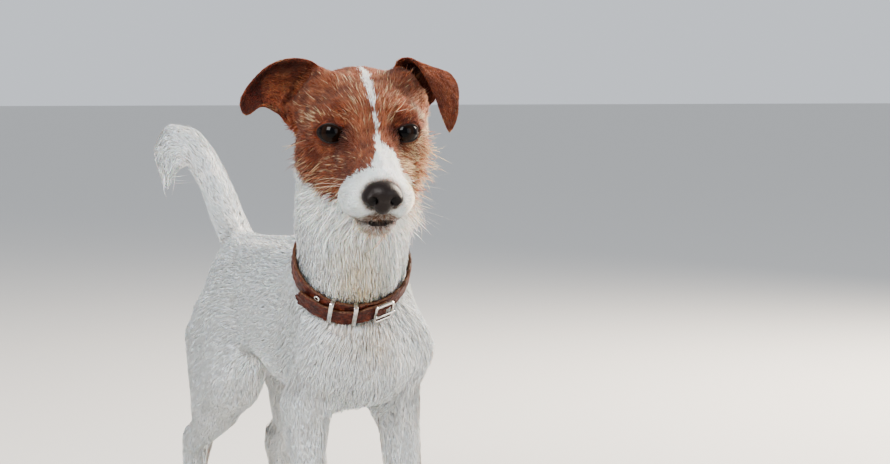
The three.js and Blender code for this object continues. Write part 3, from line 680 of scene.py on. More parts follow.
@dataclass(frozen=True)
class Ear:
    """An ear: a bowed sheet between two edges that run from its root to its tip."""

    inner: tuple
    outer: tuple
    bow: tuple
    thickness: float = 2.6
    margin: float = 0.9  # how far the edges are moved out, as smoothing draws them in again
    rim: float = 0.55
    lobe: float = 0.0  # how far the fold in the hollow stands out
    cells: tuple[int, int] = (22, 44)

    def sheet(self, u: Array, v: Array) -> Array:
        """Finds places on the sheet.

        Args:
            u: How far across it each is, from 0 to 1.
            v: How far along it.

        Returns:
            The places.
        """
        closing = np.maximum(0, (v - 0.86) / 0.14)
        w = 0.5 - 0.5 * np.cos(math.pi * u) * np.sqrt(np.maximum(0.03, 1 - closing**2))
        inner, outer = through(self.inner, v), through(self.outer, v)
        spread = unit(inner - outer) * self.margin
        inner, outer = inner + spread, outer - spread
        places = inner + (outer - inner) * w[:, None]
        bow = np.stack([np.zeros(len(self.bow)), self.bow, np.zeros(len(self.bow))], axis=1)
        places[:, 1] += through(bow, v)[:, 1] * 4 * w * (1 - w)
        return UPRIGHT.world(places)

    def frames(self, u: Array, v: Array) -> tuple[Array, Array, Array]:
        """Finds places on the sheet and how it runs there.

        Args:
            u: How far across it each is, from 0 to 1.
            v: How far along it.

        Returns:
            The places, the way to the tip and the sheet's normal.
        """
        e = 0.02
        across = self.sheet(np.minimum(1, u + e), v) - self.sheet(np.maximum(0, u - e), v)
        along = self.sheet(u, np.minimum(1, v + e)) - self.sheet(u, np.maximum(0, v - e))
        return self.sheet(u, v), unit(along), unit(np.cross(across, along))

    def solid(self) -> Pair:
        """Gives the sheet its thickness, less at its rim.

        Returns:
            The points and triangles of the closed shell.
        """
        across, along = self.cells
        u, v = grid(np.linspace(0, 1, across + 1), np.linspace(0, 1, along + 1))
        places, _, normals = self.frames(u, v)
        full = np.minimum(1, self.rim + 4 * np.minimum(np.minimum(u, 1 - u), (1 - v) * 1.5))
        half = normals * (self.thickness / 2 * full)[:, None]
        front = normals @ UPRIGHT.rows[1] < 0
        fold = normals * (self.lobe * lobe_of_ear(u, v))[:, None]
        points = np.vstack([places + half + fold * front[:, None], places - half - fold * ~front[:, None]])
        i, j = grid(np.arange(across), np.arange(along))
        row = across + 1
        a, b, c, d = j * row + i, j * row + i + 1, (j + 1) * row + i + 1, (j + 1) * row + i
        top = np.vstack([np.stack([a, b, c], 1), np.stack([a, c, d], 1)])
        size = len(places)
        loop = np.concatenate(
            [np.arange(across), np.arange(along) * row + across]
            + [along * row + across - np.arange(across), (along - np.arange(along)) * row]
        )
        after = np.roll(loop, -1)
        rim = [np.stack([loop, after + size, after], 1), np.stack([loop, loop + size, after + size], 1)]
        return points, np.vstack([top, top[:, ::-1] + size, *rim])


EARS = {
    "ear_left": Ear(
        ((16, 20, 40), (26, 20, 53), (37, 15, 53), (46, 8, 38), (54, 5, 19), (61, 6, -1)),
        ((46, 34, 4), (57, 33, 22), (64, 30, 44), (71, 21, 35), (70, 14, 16), (65, 8, -1)),
        (14, 13, 4, -3, -3, 0),
    ),
    "ear_right": Ear(
        ((-18, 22, 35), (-31, 20, 49), (-50, 24, 54), (-68, 24, 49.5))
        + ((-82, 20, 37.5), (-91, 14, 25), (-93, 9, 13)),
        ((-44, 36, -4), (-52, 32, 2), (-60, 27, 12), (-71, 18, 18.5))
        + ((-77, 13, 19.5), (-82, 10, 17), (-86, 7.5, 12)),
        (13, 15, 15, 12, 8, 4, 0),
        lobe=2.4,
    ),
}


class EarMap:
    """Tells which places on the skin are on an ear, and how the hair lies there."""

    ACROSS, ALONG = 12, 30

    def __init__(self) -> None:
        """Lays a net of known places over both ears."""
        u, v = grid(np.linspace(0, 1, self.ACROSS), np.linspace(0, 1, self.ALONG))
        frames = [ear.frames(u, v) for ear in EARS.values()]
        self.places, self.tips, self.normals = (np.vstack(part) for part in zip(*frames))
        self.u, self.v = np.tile(u, 2), np.tile(v, 2)
        self.tree = KDTree(len(self.places))
        for i, place in enumerate(self.places):
            self.tree.insert(place, i)
        self.tree.balance()

    def at(self, points: Array) -> Values:
        """Finds the nearest known place of an ear for each point.

        Args:
            points: Places on the skin.

        Returns:
            How much each point belongs to an ear and to its root, its place across and along the
            ear, the way to the tip, the sheet's normal there, and which ear it is (1 left, -1 right).
        """
        found = [self.tree.find(point) for point in points]
        index = np.array([f[1] for f in found])
        distance = np.array([f[2] for f in found])
        v = self.v[index]
        return {
            "on": (1 - smoothstep(distance, 3.6, 6.5)) * smoothstep(v, 0.1, 0.22),
            "root": (1 - smoothstep(distance, 6.0, 11.0)) * (1 - smoothstep(v, 0.08, 0.26)),
            "u": self.u[index],
            "v": v,
            "tip": self.tips[index],
            "normal": self.normals[index],
            "side": np.where(index < len(self.places) // 2, LEFT, RIGHT),
        }


# ---------------- eyes
@dataclass(frozen=True)
class Eye:
    """One eye's place, its opening between the lids and the way it looks."""

    name: str
    side: float
    openness: float = 1.0  # of the lids, up and down

    # how far the opening reaches from its middle, every way round from the outer corner up
    TURNS = (0, 15, 35, 60, 90, 120, 150, 172, 188, 210, 240, 270, 300, 330, 345, 360)
    REACH = (9.9, 9.1, 7.7, 6.8, 6.5, 6.7, 7.9, 9.3, 9.9, 8.9, 7.1, 6.2, 6.4, 7.4, 8.7, 9.9)

    def centre(self) -> Array:
        """Returns the middle of the eyeball."""
        return middle_of(f"eye_{self.name}")

    def axes(self) -> Axes:
        """Finds the opening's axes.

        Returns:
            Axes in the eyeball's middle: X outwards to the temple, Z up, Y into the eye.
        """
        out = unit(np.array([self.side * 0.31, -0.90, 0.23]))
        lateral = np.array([self.side, 0, 0.04])
        lateral = unit(lateral - out * (lateral @ out))
        up = unit(np.cross(lateral, out) * self.side)
        up = up if up[2] > 0 else -up
        return Axes(self.centre(), HEAD.turned(np.array([lateral, -out, up])))

    def gap(self, points: Array) -> Pair:
        """Measures places round the eye against its opening.

        Args:
            points: The places.

        Returns:
            How far each lies outside the edge of the opening, over the eyeball, and its way
            round from the outer corner in radians.
        """
        local = self.axes().local(points)
        away = unit(local)
        tilt = np.arccos(np.clip(-away[:, 1], -1, 1))
        turn = np.arctan2(away[:, 2], away[:, 0])
        reach = np.interp(np.degrees(turn) % 360, self.TURNS, self.REACH)
        reach = reach * (1 - (1 - self.openness) * np.sin(turn) ** 2)
        return (tilt - np.arcsin(np.clip(reach / EYE_RADIUS, 0, 0.985))) * EYE_RADIUS, turn


EYES = [Eye("left", LEFT, 0.9), Eye("right", RIGHT)]


# ---------------- markings
def mirrored(line: list) -> list[list]:
    """Returns a line and its mirror image."""
    return [line, [(-x, y, z) for x, y, z in line]]


MOUTH = [(0, -69, -43.5), (7, -67, -45), (13, -59, -46.5), (18, -46, -49), (21, -33, -52.5)]
LIPS_AT = (0.5, -69, -45.5)  # where they part in front
PHILTRUM = ((0, -72, -32), (0, -71, -42))
NOSE_AT, NOSE_SIZE = (0, -74, -22), (14.5, 14, 11.5)


def to_mouth(places: Array) -> Array:
    """Returns the distance of places in the head's axes from the line of the mouth."""
    return np.min([to_line(places, line) for line in mirrored(MOUTH)], axis=0)


class Marks:
    """The dog's markings and bare dark skin, with some painted light and shade, the same for its skin and its
    coat.
    """

    BLAZE_AT = (-54, -46, -36, -28, -20, -14, -6, 4, 20, 32, 50)
    BLAZE_FROM = (-5, -1.4, 1.0, 1.3, 1.1, 0.6, -0.2, -2.0, -1.6, -1.0, 0.2)
    BLAZE_TO = (9, 8.5, 5.2, 3.2, 2.8, 2.8, 3.3, 3.8, 3.4, 2.6, 2.0)
    OCCIPUT = 88  # how far back the tan reaches
    SOCKET = 24.0  # how far from an eye's middle its lids and socket reach
    # the line down the throat and chest that carries the painted shade there
    THROAT = [(-34, -140, 258), (-24, -124, 228), (-16, -123, 206)]  # in the body's axes
    BLOND = [  # pale streaks: both ends, width and amount
        ((-14, 26, 36), (-12.6, -1, 29.5), 0.9, 0.85),
        ((-12.6, -1, 29.5), (-8, -22, 9.5), 1.0, 0.6),
        ((-8, 26, 37), (-9, 4, 32), 0.8, 0.7),
        ((-10, 22, 35), (-8, -24, 8), 6.5, 0.1),
        ((22, 19, 35), (10.5, -9, 25), 0.9, 0.9),
        ((23, 16, 34), (17, -6, 23), 0.8, 0.7),
        ((12, 8, 32), (10, -20, 10), 5.0, 0.12),
        ((-46, 13, 5), (-30, -8, 18.5), 2.0, 0.75),
        ((-46, 13, 5), (-32, -6, 14), 5.0, 0.14),
        ((44, 10, 7), (30, -6, 17), 3.0, 0.7),
        ((-36, 6, -24), (-20, -24, -12), 5.0, 0.13),
        ((-42, 18, -26), (-24, -26, -34), 6.0, 0.3),
    ]

    def __init__(self) -> None:
        """Sets up the noise that frays the edges and mottles the coat."""
        self.fray = Waves(7, 11)
        self.fine = Waves(2.2, 12)
        self.mottle = Waves(13, 13)

    def at(self, points: Array, ears: Values) -> Values:
        """Finds the colours at places on the skin.

        Args:
            points: The places.
            ears: What the ears' map says of them.

        Returns:
            Values from 0 to 1 by name: tan, blond (pale hair, and painted light and shade), dark (bare
                pigment), stain (stains, and painted shade) and shade (a tone that also carries painted
                sunlight on the left cheek and painted shade towards the ears' tips).
        """
        p = HEAD.local(points)
        x, y, z = p.T
        u, v, on = ears["u"], ears["v"], ears["on"]
        # pale edge hair with painted rim light along the ears' edges
        rim = np.maximum(smoothstep(np.abs(u - 0.5), 0.41, 0.5), smoothstep(v, 0.95, 1.0))
        rim = rim * smoothstep(v, 0.3, 0.5)
        low = 11 * smoothstep(-y, 4, 22)
        # pale wiry hair with painted sunlight, on the dog's left cheek only: paler streaks and a lighter tan
        pale_lit_cheek = smoothstep(x, 24 - low, 37 - low) * smoothstep(-z, -6, 6) * (1 - smoothstep(y, 16, 36))
        pale_lit_cheek = pale_lit_cheek * smoothstep(z, -80, -62)
        # painted shade under the jaw and down the throat and chest: a cream tint with a little brown
        under = inside(p, (0, -44, -60), (24, 26, 14), 0.6, 1.2)
        throat_shade = bell(to_line(BODY.local(points), self.THROAT), 20)
        near = [np.linalg.norm(points - eye.centre(), axis=1) < self.SOCKET for eye in EYES]
        around = [eye.gap(points) for eye in EYES]
        socket = [
            close * bell(np.maximum(gap, 0), 5.5) * (0.7 - 0.3 * np.cos(turn))
            for close, (gap, turn) in zip(near, around)
        ]
        lids = [close * (1 - smoothstep(gap, 0.7, 1.7)) for close, (gap, _) in zip(near, around)]
        shade = 0.52 + 0.13 * self.mottle(points) + 0.1 * self.fray(points) + 0.25 * pale_lit_cheek
        shade = np.clip(shade, 0, 1) - 0.6 * np.max(socket, axis=0)
        # painted shade: the ears darken towards the tip, apart from their rim
        shade = np.clip(shade - 0.25 * smoothstep(v, 0.35, 0.7) * (1 - rim) * on, 0, 1)
        blond = self._blond(p, [0.95 * pale_lit_cheek], [under, throat_shade])
        return {
            "tan": np.maximum(self._tan(p), on),
            "blond": np.clip(blond * (1 - on) + 0.8 * rim * on, 0, 1),
            "dark": np.max(lids + self._bare_pigment(p), axis=0),
            "stain": np.max(self._stains_and_shade(p) + [0.16 * throat_shade, 0.2 * under], axis=0),
            "shade": shade,
        }

    def _tan(self, p: Array) -> Array:
        """Finds the tan mask with its blaze, and the white of muzzle, jaw and neck.

        Args:
            p: Places in the head's axes.

        Returns:
            How tan each place is.
        """
        x, y, z = p.T
        fray = self.fray(p) * 1.0 + self.fine(p) * 0.6
        low, high = np.interp(y, self.BLAZE_AT, self.BLAZE_FROM), np.interp(y, self.BLAZE_AT, self.BLAZE_TO)
        blaze = np.maximum(low - x, x - high) + 6 * smoothstep(y, 44, 54)
        far_side = smoothstep(x, -3, 5)
        right = (y + 67.7 + 1.19 * z) / 1.55
        left = (y + 34 + 0.55 * z) / 1.14
        muzzle = left + (right - left) * (1 - far_side)
        jaw = z + 38.2 - 0.18 * y + (15.3 - 0.22 * y) * far_side
        back = (self.OCCIPUT - y - 0.15 * np.maximum(z, 0) + 0.45 * np.minimum(z, 0)) / 1.1
        soft = 0.5 * smoothstep(y, -30, -18) * (1 - smoothstep(y, 10, 24))
        edge = np.minimum(np.minimum(blaze, muzzle * 0.8), np.minimum(jaw, back)) + fray * 0.9
        return smoothstep(np.where(blaze < 4, edge * (1 - soft), edge), -1.0, 1.0)

    def _blond(self, p: Array, mottled: list[Array], even: list[Array]) -> Array:
        """Finds the pale streaks of the coat, joined with other pale parts, some of which are painted light
        and shade.

        Args:
            p: Places in the head's axes.
            mottled: Other pale parts that are mottled as the streaks are.
            even: Other pale parts that aren't.

        Returns:
            How pale each place is.
        """
        streaks = [amount * bell(to_segment(p, a, b)[0], width) for a, b, width, amount in self.BLOND]
        blond = np.max(streaks + mottled, axis=0) * (0.75 + 0.3 * self.fray(p * 1.3))
        return np.max([blond] + even, axis=0)

    @staticmethod
    def _bare_pigment(p: Array) -> list[Array]:
        """Finds the dark bare skin of eye corners, lips and nose.

        Args:
            p: Places in the head's axes.

        Returns:
            How dark each place is, for each part.
        """
        dark = []
        for side in (LEFT, RIGHT):
            corner, _ = to_segment(p, (side * 37, -2, 1), (side * 43, 3, -2))
            tear, _ = to_segment(p, (side * 18, -15, 1), (side * 15.5, -19, -4))
            dark += [0.9 * bell(corner, 1.6), 0.7 * bell(tear, 2.2)]
        dark.append(1 - smoothstep(to_mouth(p), 1.2, 3.4))
        dark.append(inside(p, NOSE_AT, NOSE_SIZE, 0.92, 1.02))
        return dark + [inside(p, LIPS_AT, (13, 10, 3.0), 0.9, 1.15)]

    @staticmethod
    def _stains_and_shade(p: Array) -> list[Array]:
        """Finds the brown stains round the mouth, with painted shade reaching back along the lips and under
        the chin.

        Args:
            p: Places in the head's axes.

        Returns:
            How much stain and painted shade each place has, for each part.
        """
        front = smoothstep(-p[:, 1], 20, 62)
        # stain at the front of the mouth, reaching back along the lips as painted shade
        over = bell(to_mouth(p - (0, 0, 2.5)), 4.0 + 2.0 * front) * (0.55 + 0.4 * front)
        upper = inside(p, (0.5, -67, -40.5), (14.5, 14, 9.5), 0.55, 1.15)
        # stain under the chin, with painted shade
        chin = 0.72 * inside(p, (0.5, -63, -54), (12.5, 11, 9), 0.55, 1.6)
        return [over, upper, chin, 0.5 * inside(p, NOSE_AT, NOSE_SIZE, 1.0, 1.16)]


# ---------------- skin
@dataclass
class Skin:
    """The single skin that takes the place of the solid flesh, under the coat by its depth."""

    coat: CoatMap
    ears: EarMap
    marks: Marks
    grow: float = 0.8  # closes the thin cuts between the CAD's parts
    voxel: float = 1.15
    smooth_rounds: int = 110
    fine_eyes: float = 21.0  # how far from each eye, and from the mouth, the triangles are split
    fine_mouth: float = 9.0
    body_share: float = 0.26  # how many of the trunk's and legs' triangles stay
    under_band: float = 4.6  # how deep the skin lies under the collar's band
    off_floor: float = 0.6  # how far the soles' skin stays above the floor
    points: Array = field(init=False)
    faces: Array = field(init=False)
    normals: Array = field(init=False)

    def build(self) -> Object:
        """Builds the skin.

        Returns:
            The skin, with its markings.
        """
        self._join()
        self._relax()
        self._refine()
        self._shape_head()
        self._shrink()
        self._open_eyes()
        self.normals = vertex_normals(self.points, self.faces)
        made = new_object("skin", self.points, self.faces)
        ears = self.ears.at(self.points)
        marks = self.marks.at(self.points, ears)
        marks["blond"] = marks["blond"] * (1 - 0.75 * marks["tan"])
        # inner: painted shade in the ears' hollows
        marks["inner"] = self.ear_hollow_shade(ears)
        low = 1 - smoothstep(self.points[:, 2], 1.0, 3.5)
        marks["sole"] = low * smoothstep(-self.normals[:, 2], 0.3, 0.7)
        for name, values in marks.items():
            store(made.data, name, values)
        return made

    def ear_hollow_shade(self, ears: Values) -> Array:
        """Finds the painted shade in the hollows of the ears, less on the fold, the flap and the rim.

        Args:
            ears: What the ears' map says of the skin's points.

        Returns:
            How much painted shade each point has on the hollow side of an ear.
        """
        facing = np.einsum("ij,ij->i", self.normals, ears["normal"]) * ears["side"]
        front = np.einsum("ij,j->i", ears["normal"] * ears["side"][:, None], UPRIGHT.rows[1])
        hollow = np.where(front < 0, facing, -facing)
        u, v = ears["u"], ears["v"]
        flap = (ears["side"] > 0) * smoothstep(v, 0.3, 0.45) * smoothstep(u, 0.1, 0.3)
        rim = np.maximum(smoothstep(np.abs(u - 0.5), 0.43, 0.5), smoothstep(v, 0.94, 1.0))
        fold = (ears["side"] < 0) * lobe_of_ear(u, v)
        amount = (1 - 0.9 * flap) * (1 - 0.8 * rim) * (1 - 0.5 * fold) * smoothstep(v, 0.08, 0.3)
        return ears["on"] * smoothstep(hollow, -0.1, 0.3) * amount

    def _join(self) -> None:
        """Joins the flesh, the eyes and the nose into one closed surface."""
        nodes = [node for node in FLESH + ["eye_left", "eye_right", "nose"] if node not in EARS]
        shells = [arrays_and_free(merged_shell(node)) for node in nodes]
        grown = [(points + vertex_normals(points, faces) * self.grow, faces) for points, faces in shells]
        whole = new_object("joined", *stacked(grown + [ear.solid() for ear in EARS.values()]))
        remesh = whole.modifiers.new("one surface", "REMESH")
        remesh.mode, remesh.voxel_size = "VOXEL", self.voxel * MM
        self.points, self.faces = self._modified(whole)
        label = Net(self.faces, len(self.points)).islands()
        keep = label == np.bincount(label).argmax()
        self.faces = keep_points(keep, self.faces)
        self.points = self.points[keep]

    @staticmethod
    def _modified(whole: Object) -> Pair:
        """Applies an object's modifiers and removes it.

        Args:
            whole: The object.

        Returns:
            Its points and triangles.
        """
        graph = bpy.context.evaluated_depsgraph_get()
        found = arrays_of(whole.evaluated_get(graph).to_mesh())
        bpy.data.objects.remove(whole)
        return found

    def _relax(self) -> None:
        """Takes the facets out, most on the trunk and hardly at all on head and ears."""
        p = HEAD.local(self.points)
        head = 1 - smoothstep(p[:, 1], 40, 85)
        head *= smoothstep(p[:, 2], -95, -68)
        body = BODY.local(self.points)
        low = 1 - smoothstep(body[:, 2], 110, 175)
        foot = 1 - smoothstep(body[:, 2], 22, 45)
        tail = smoothstep(body[:, 2], 250, 275) * smoothstep(body[:, 1], 120, 140)
        pull = np.full(len(p), 0.7)
        for share, value in ((low, 0.22), (foot, 0.06), (tail, 0.2), (head, 0.075)):
            pull += share * (value - pull)
        on_ear, root = np.zeros(len(p)), np.zeros(len(p))
        near = np.flatnonzero((head > 0.2) & (p[:, 1] > -20))
        found = self.ears.at(self.points[near])
        on_ear[near], root[near] = found["on"], found["root"]
        pull += on_ear * (0.012 - pull)
        pull += root * (0.3 - pull)
        net = Net(self.faces, len(self.points))
        weight = net.relax(pull, 0.5, 10)[:, None]
        once = net.relax(self.points, weight, self.smooth_rounds)
        lost = net.relax(self.points - once, weight, self.smooth_rounds)
        self.points = once + lost * (1 - 0.5 * on_ear - 0.5 * root * (1 - on_ear))[:, None]

    def _refine(self) -> None:
        """Thins out the triangles of the body and splits those round the eyes and mouth."""
        whole = new_object("coarse", self.points, self.faces)
        p = HEAD.local(self.points)
        body = smoothstep(p[:, 1], 50, 80) + (1 - smoothstep(p[:, 2], -90, -75))
        body = np.clip(body, 0, 1) * (1 - (self.points[:, 2] < 40) * 0.6)
        group = whole.vertex_groups.new(name="body")
        for level in (0.25, 0.5, 0.75, 1.0):
            members = np.flatnonzero((body > level - 0.25) & (body <= level))
            group.add(members.tolist(), level, "REPLACE")
        thin = whole.modifiers.new("thin out", "DECIMATE")
        thin.ratio, thin.vertex_group, thin.vertex_group_factor = self.body_share, "body", 8.0
        points, faces = self._modified(whole)
        coarse = bpy.data.meshes.new("coarse")
        coarse.from_pydata(points.tolist(), [], faces.tolist())
        shell = bmesh.new()
        shell.from_mesh(coarse)
        bpy.data.meshes.remove(coarse)
        places = np.array([edge.verts[0].co + edge.verts[1].co for edge in shell.edges]) / 2
        near = to_mouth(HEAD.local(places)) < self.fine_mouth
        for eye in EYES:
            middle = eye.centre() + HEAD.turned([0, -6, 2])
            near |= np.linalg.norm(places - middle, axis=1) < self.fine_eyes
        edges = [edge for edge, chosen in zip(shell.edges, near) if chosen]
        bmesh.ops.subdivide_edges(shell, edges=edges, cuts=1)
        bmesh.ops.triangulate(shell, faces=shell.faces)
        points, self.faces = arrays_and_free(shell)
        self.points = points * MM

    def _shape_head(self) -> None:
        """Presses in the mouth, the philtrum and the brow's furrow, and fills out the lip pads."""
        p = HEAD.local(self.points)
        normals = vertex_normals(self.points, self.faces)
        lips = to_mouth(p)
        below = smoothstep(-(p[:, 2] + 46 + 0.15 * (p[:, 1] + 60)), -1, 2) * bell(lips, 5)
        push = -2.2 * bell(lips, 1.3) - 1.0 * below + 0.5 * bell(lips - 3, 1.6)
        push -= 1.4 * bell(to_segment(p, *PHILTRUM)[0], 1.2)
        for side in (LEFT, RIGHT):
            pad = nearness(p, (side * 17.5, -42, -37), (12, 17, 12))
            push += (5.8 - 0.8 * side) * bell(pad, 1) * smoothstep(side * p[:, 0], 3, 14)
        push -= 4.0 * bell(np.linalg.norm(p - (38, 24, 15), axis=1), 11)  # the left temple
        nape = np.linalg.norm(BODY.local(self.points) - (-56, -91, 272), axis=1)
        push += 4.0 * bell(nape, 23)
        push -= 0.9 * bell(to_segment(p, (0, -6, 12), (0, 24, 37))[0], 4)
        self.points = self.points + normals * push[:, None]

    def _shrink(self) -> None:
        """Draws the skin in under the CAD's outline by the depth of the coat, and under the collar."""
        normals = vertex_normals(self.points, self.faces)
        net = Net(self.faces, len(self.points))
        normals = unit(net.relax(normals, 0.8, 6))
        depth = self.coat.at(self.points)[1][:, 2] * (1 - self.ears.at(self.points)["on"])
        depth = depth + 4.0 * inside(HEAD.local(self.points), (0, -75, -22), NOSE_SIZE, 0.8, 1.02)
        lobe = np.linalg.norm(BODY.local(self.points) - TAIL_LINE[-2], axis=1)
        depth = depth - 3.2 * (1 - smoothstep(lobe, 15, 30))
        depth = net.relax(depth + self.grow, 0.6, 6)
        local, radius = in_collar(self.points)
        groove = (1 - smoothstep(np.abs(local[:, 1]), 10, 17)) * (radius < 60)
        local, radius = in_collar(self.points - normals * depth[:, None])
        most = COLLAR_RADIUS - self.under_band
        scale = 1 - groove * (1 - np.minimum(1, most / np.maximum(radius, 1)))
        local[:, [0, 2]] *= scale[:, None]
        self.points = COLLAR.world(local)
        self.points[:, 2] = np.maximum(self.points[:, 2], self.off_floor)

    def _open_eyes(self) -> None:
        """Shapes the lids over each eyeball and the opening between them."""
        for eye in EYES:
            from_eye = self.points - eye.centre()
            radius = np.linalg.norm(from_eye, axis=1)
            near = np.flatnonzero(radius < 27)
            gap, turn = eye.gap(self.points[near])
            r = radius[near]
            edge = 0.1 + 0.42 * np.sqrt(np.clip(gap / 0.7, 0, 1)) + 0.1 * np.clip(gap - 0.7, 0, 4)
            fold = 0.5 * bell(gap - 4.2, 0.9) * (0.35 + 0.65 * smoothstep(np.sin(turn), 0, 0.7))
            target = EYE_RADIUS + edge - fold
            target = target + smoothstep(-gap, 0.0, 0.45) * (EYE_RADIUS - 2.4 - target)
            # the lids stand out from the ball only where the face around them does
            facing = eye.axes().local(self.points[near])[:, 1] < 6
            share = (1 - smoothstep(gap, 0.8, 7.5)) * facing
            new_radius = r + share * (target - r)
            self.points[near] = eye.centre() + from_eye[near] * (new_radius / np.maximum(r, 1e-6))[:, None]


# ---------------- shader nodes
def tint(red: float, green: float, blue: float) -> Color:
    """Returns an opaque colour."""
    return (red, green, blue, 1.0)


@dataclass
class Nodes:
    """A node tree under construction."""

    tree: NodeTree

    def feed(self, socket: Socket, value: object) -> None:
        """Links a socket to another, or sets its value.

        Args:
            socket: The input that is fed.
            value: The socket that feeds it, or its value.
        """
        if isinstance(value, Socket):
            self.tree.links.new(value, socket)
        else:
            socket.default_value = value

    def add(self, kind: str, inputs: dict | None = None, **settings: object) -> Node:
        """Adds a node.

        Args:
            kind: The node's type.
            inputs: Values or sockets by the name or number of the input they go to.
            **settings: Properties to set on the node.

        Returns:
            The node.
        """
        node = self.tree.nodes.new(kind)
        for name, value in settings.items():
            setattr(node, name, value)
        for name, value in (inputs or {}).items():
            self.feed(node.inputs[name], value)
        return node

    def attribute(self, name: str) -> Socket:
        """Returns the number that a mesh keeps under a name."""
        return self.add("ShaderNodeAttribute", attribute_name=name).outputs["Fac"]

    def math(self, operation: str, a: object, b: object = 0.0, clamp: bool = False) -> Socket:
        """Returns the result of a sum on two numbers."""
        return self.add("ShaderNodeMath", {0: a, 1: b}, operation=operation, use_clamp=clamp).outputs[0]

    def ramp(self, value: object, stops: tuple[tuple[float, Color], ...]) -> Socket:
        """Reads a colour off a ramp.

        Args:
            value: The number that it is read at.
            stops: Places and colours along the ramp.

        Returns:
            The colour.
        """
        node = self.add("ShaderNodeValToRGB", {"Fac": value})
        elements = node.color_ramp.elements
        for _ in range(len(stops) - 2):
            elements.new(0.5)
        for element, (place, color) in zip(elements, stops):
            element.position, element.color = place, color
        return node.outputs["Color"]

    def mix(self, share: object, a: object, b: object, blend: str = "MIX") -> Socket:
        """Returns a mix of two colours: its inputs 0, 6 and 7 are the share and the colours."""
        inputs = {0: share, 6: a, 7: b}
        return self.add("ShaderNodeMix", inputs, data_type="RGBA", blend_type=blend).outputs[2]

    def texture(self, kind: str, scale: float, inputs: dict | None = None, **settings: object) -> Node:
        """Adds a texture over the piece's own place.

        Args:
            kind: The end of the node's type, such as Noise.
            scale: Its scale.
            inputs: Its other inputs.
            **settings: Properties to set on the node.

        Returns:
            The node.
        """
        place = self.add("ShaderNodeTexCoord").outputs["Object"]
        inputs = {"Vector": place, "Scale": scale} | (inputs or {})
        return self.add("ShaderNodeTex" + kind, inputs, **settings)

    def bump(self, height: object, strength: float, distance: float, invert: bool = False) -> Socket:
        """Returns a normal bent by a height."""
        inputs = {"Height": height, "Strength": strength, "Distance": distance}
        return self.add("ShaderNodeBump", inputs, invert=invert).outputs["Normal"]


class Finish:
    """A material under construction, with its nodes and its Principled shader."""

    def __init__(self, name: str, **inputs: object) -> None:
        """Starts the material.

        Args:
            name: Its name.
            **inputs: Values of the shader's inputs, with underscores for spaces.
        """
        self.material = bpy.data.materials.new(name)
        self.material.use_nodes = True
        self.nodes = Nodes(self.material.node_tree)
        self.shader = self.material.node_tree.nodes["Principled BSDF"]
        self.set(**inputs)

    def set(self, **inputs: object) -> None:
        """Sets or links inputs of the shader by name."""
        for name, value in inputs.items():
            self.nodes.feed(self.shader.inputs[name.replace("_", " ")], value)


# ---------------- finishes
@dataclass(frozen=True)
class Pelt:
    """The colours of the coat and of the bare skin, with some painted light and shade."""

    white: tuple = (
        (0.0, tint(0.84, 0.81, 0.76)),
        (0.4, tint(0.90, 0.885, 0.86)),
        (1.0, tint(0.95, 0.945, 0.935)),
    )
    tan: tuple = (
        (0.0, tint(0.055, 0.012, 0.007)),
        (0.35, tint(0.155, 0.038, 0.019)),
        (0.72, tint(0.33, 0.100, 0.047)),
        (1.0, tint(0.56, 0.26, 0.14)),
    )
    # pale of the streaks, also painted light and shade: the lit cheek, the ears' rims, the shaded throat and
    # jaw
    blond: Color = tint(0.80, 0.59, 0.37)
    # brown of the mouth's stains, also painted shade along the lips, on the chin, under the jaw and down the
    # throat
    stain: Color = tint(0.115, 0.055, 0.028)
    # painted shade in the ears' hollows
    inner: Color = tint(0.030, 0.006, 0.004)
    bare: Color = tint(0.012, 0.008, 0.007)
    # painted shade: multiplied in towards each tuft's root, deep in the coat
    root: Color = tint(0.80, 0.75, 0.70)

    INPUTS = ("tan", "blond", "stain", "shade", "tuft", "inner", "dark", "along")

    def group(self) -> NodeTree:
        """Makes the node group that gives the coat's colour.

        Returns:
            The group, with a number input for each name in INPUTS and one colour output.
        """
        tree = bpy.data.node_groups.new("Coat colour", "ShaderNodeTree")
        for name in self.INPUTS:
            tree.interface.new_socket(name=name, in_out="INPUT", socket_type="NodeSocketFloat")
        tree.interface.new_socket(name="Color", in_out="OUTPUT", socket_type="NodeSocketColor")
        nodes = Nodes(tree)
        given, out = nodes.add("NodeGroupInput"), nodes.add("NodeGroupOutput")
        tan, blond, stain, shade, tuft, inner, dark, along = (given.outputs[name] for name in self.INPUTS)
        mottle = nodes.math("ADD", nodes.math("MULTIPLY", shade, 0.62), nodes.math("MULTIPLY", tuft, 0.38))
        color = nodes.mix(tan, nodes.ramp(mottle, self.white), nodes.ramp(mottle, self.tan))
        # painted shade in the ears' hollows
        color = nodes.mix(nodes.math("MULTIPLY", inner, 0.8), color, self.inner)
        for share, over in ((blond, self.blond), (stain, self.stain), (dark, self.bare)):
            color = nodes.mix(share, color, over)
        # painted shade: the colour darkens towards the roots, more on tan hair than on white
        deep = nodes.math("SUBTRACT", 1.0, along, clamp=True)
        share = nodes.math("MULTIPLY", deep, nodes.math("ADD", nodes.math("MULTIPLY", tan, 0.75), 0.15))
        nodes.feed(out.inputs["Color"], nodes.mix(share, color, self.root, "MULTIPLY"))
        return tree

    @classmethod
    def color(cls, nodes: Nodes, group: NodeTree, **fixed: float) -> Socket:
        """Places the node group in a material.

        Args:
            nodes: The material's nodes.
            group: The node group.
            **fixed: Inputs that don't come from what the mesh keeps, and their values.

        Returns:
            The coat's colour.
        """
        used = nodes.add("ShaderNodeGroup", node_tree=group)
        for name in cls.INPUTS:
            nodes.feed(used.inputs[name], fixed[name] if name in fixed else nodes.attribute(name))
        return used.outputs["Color"]


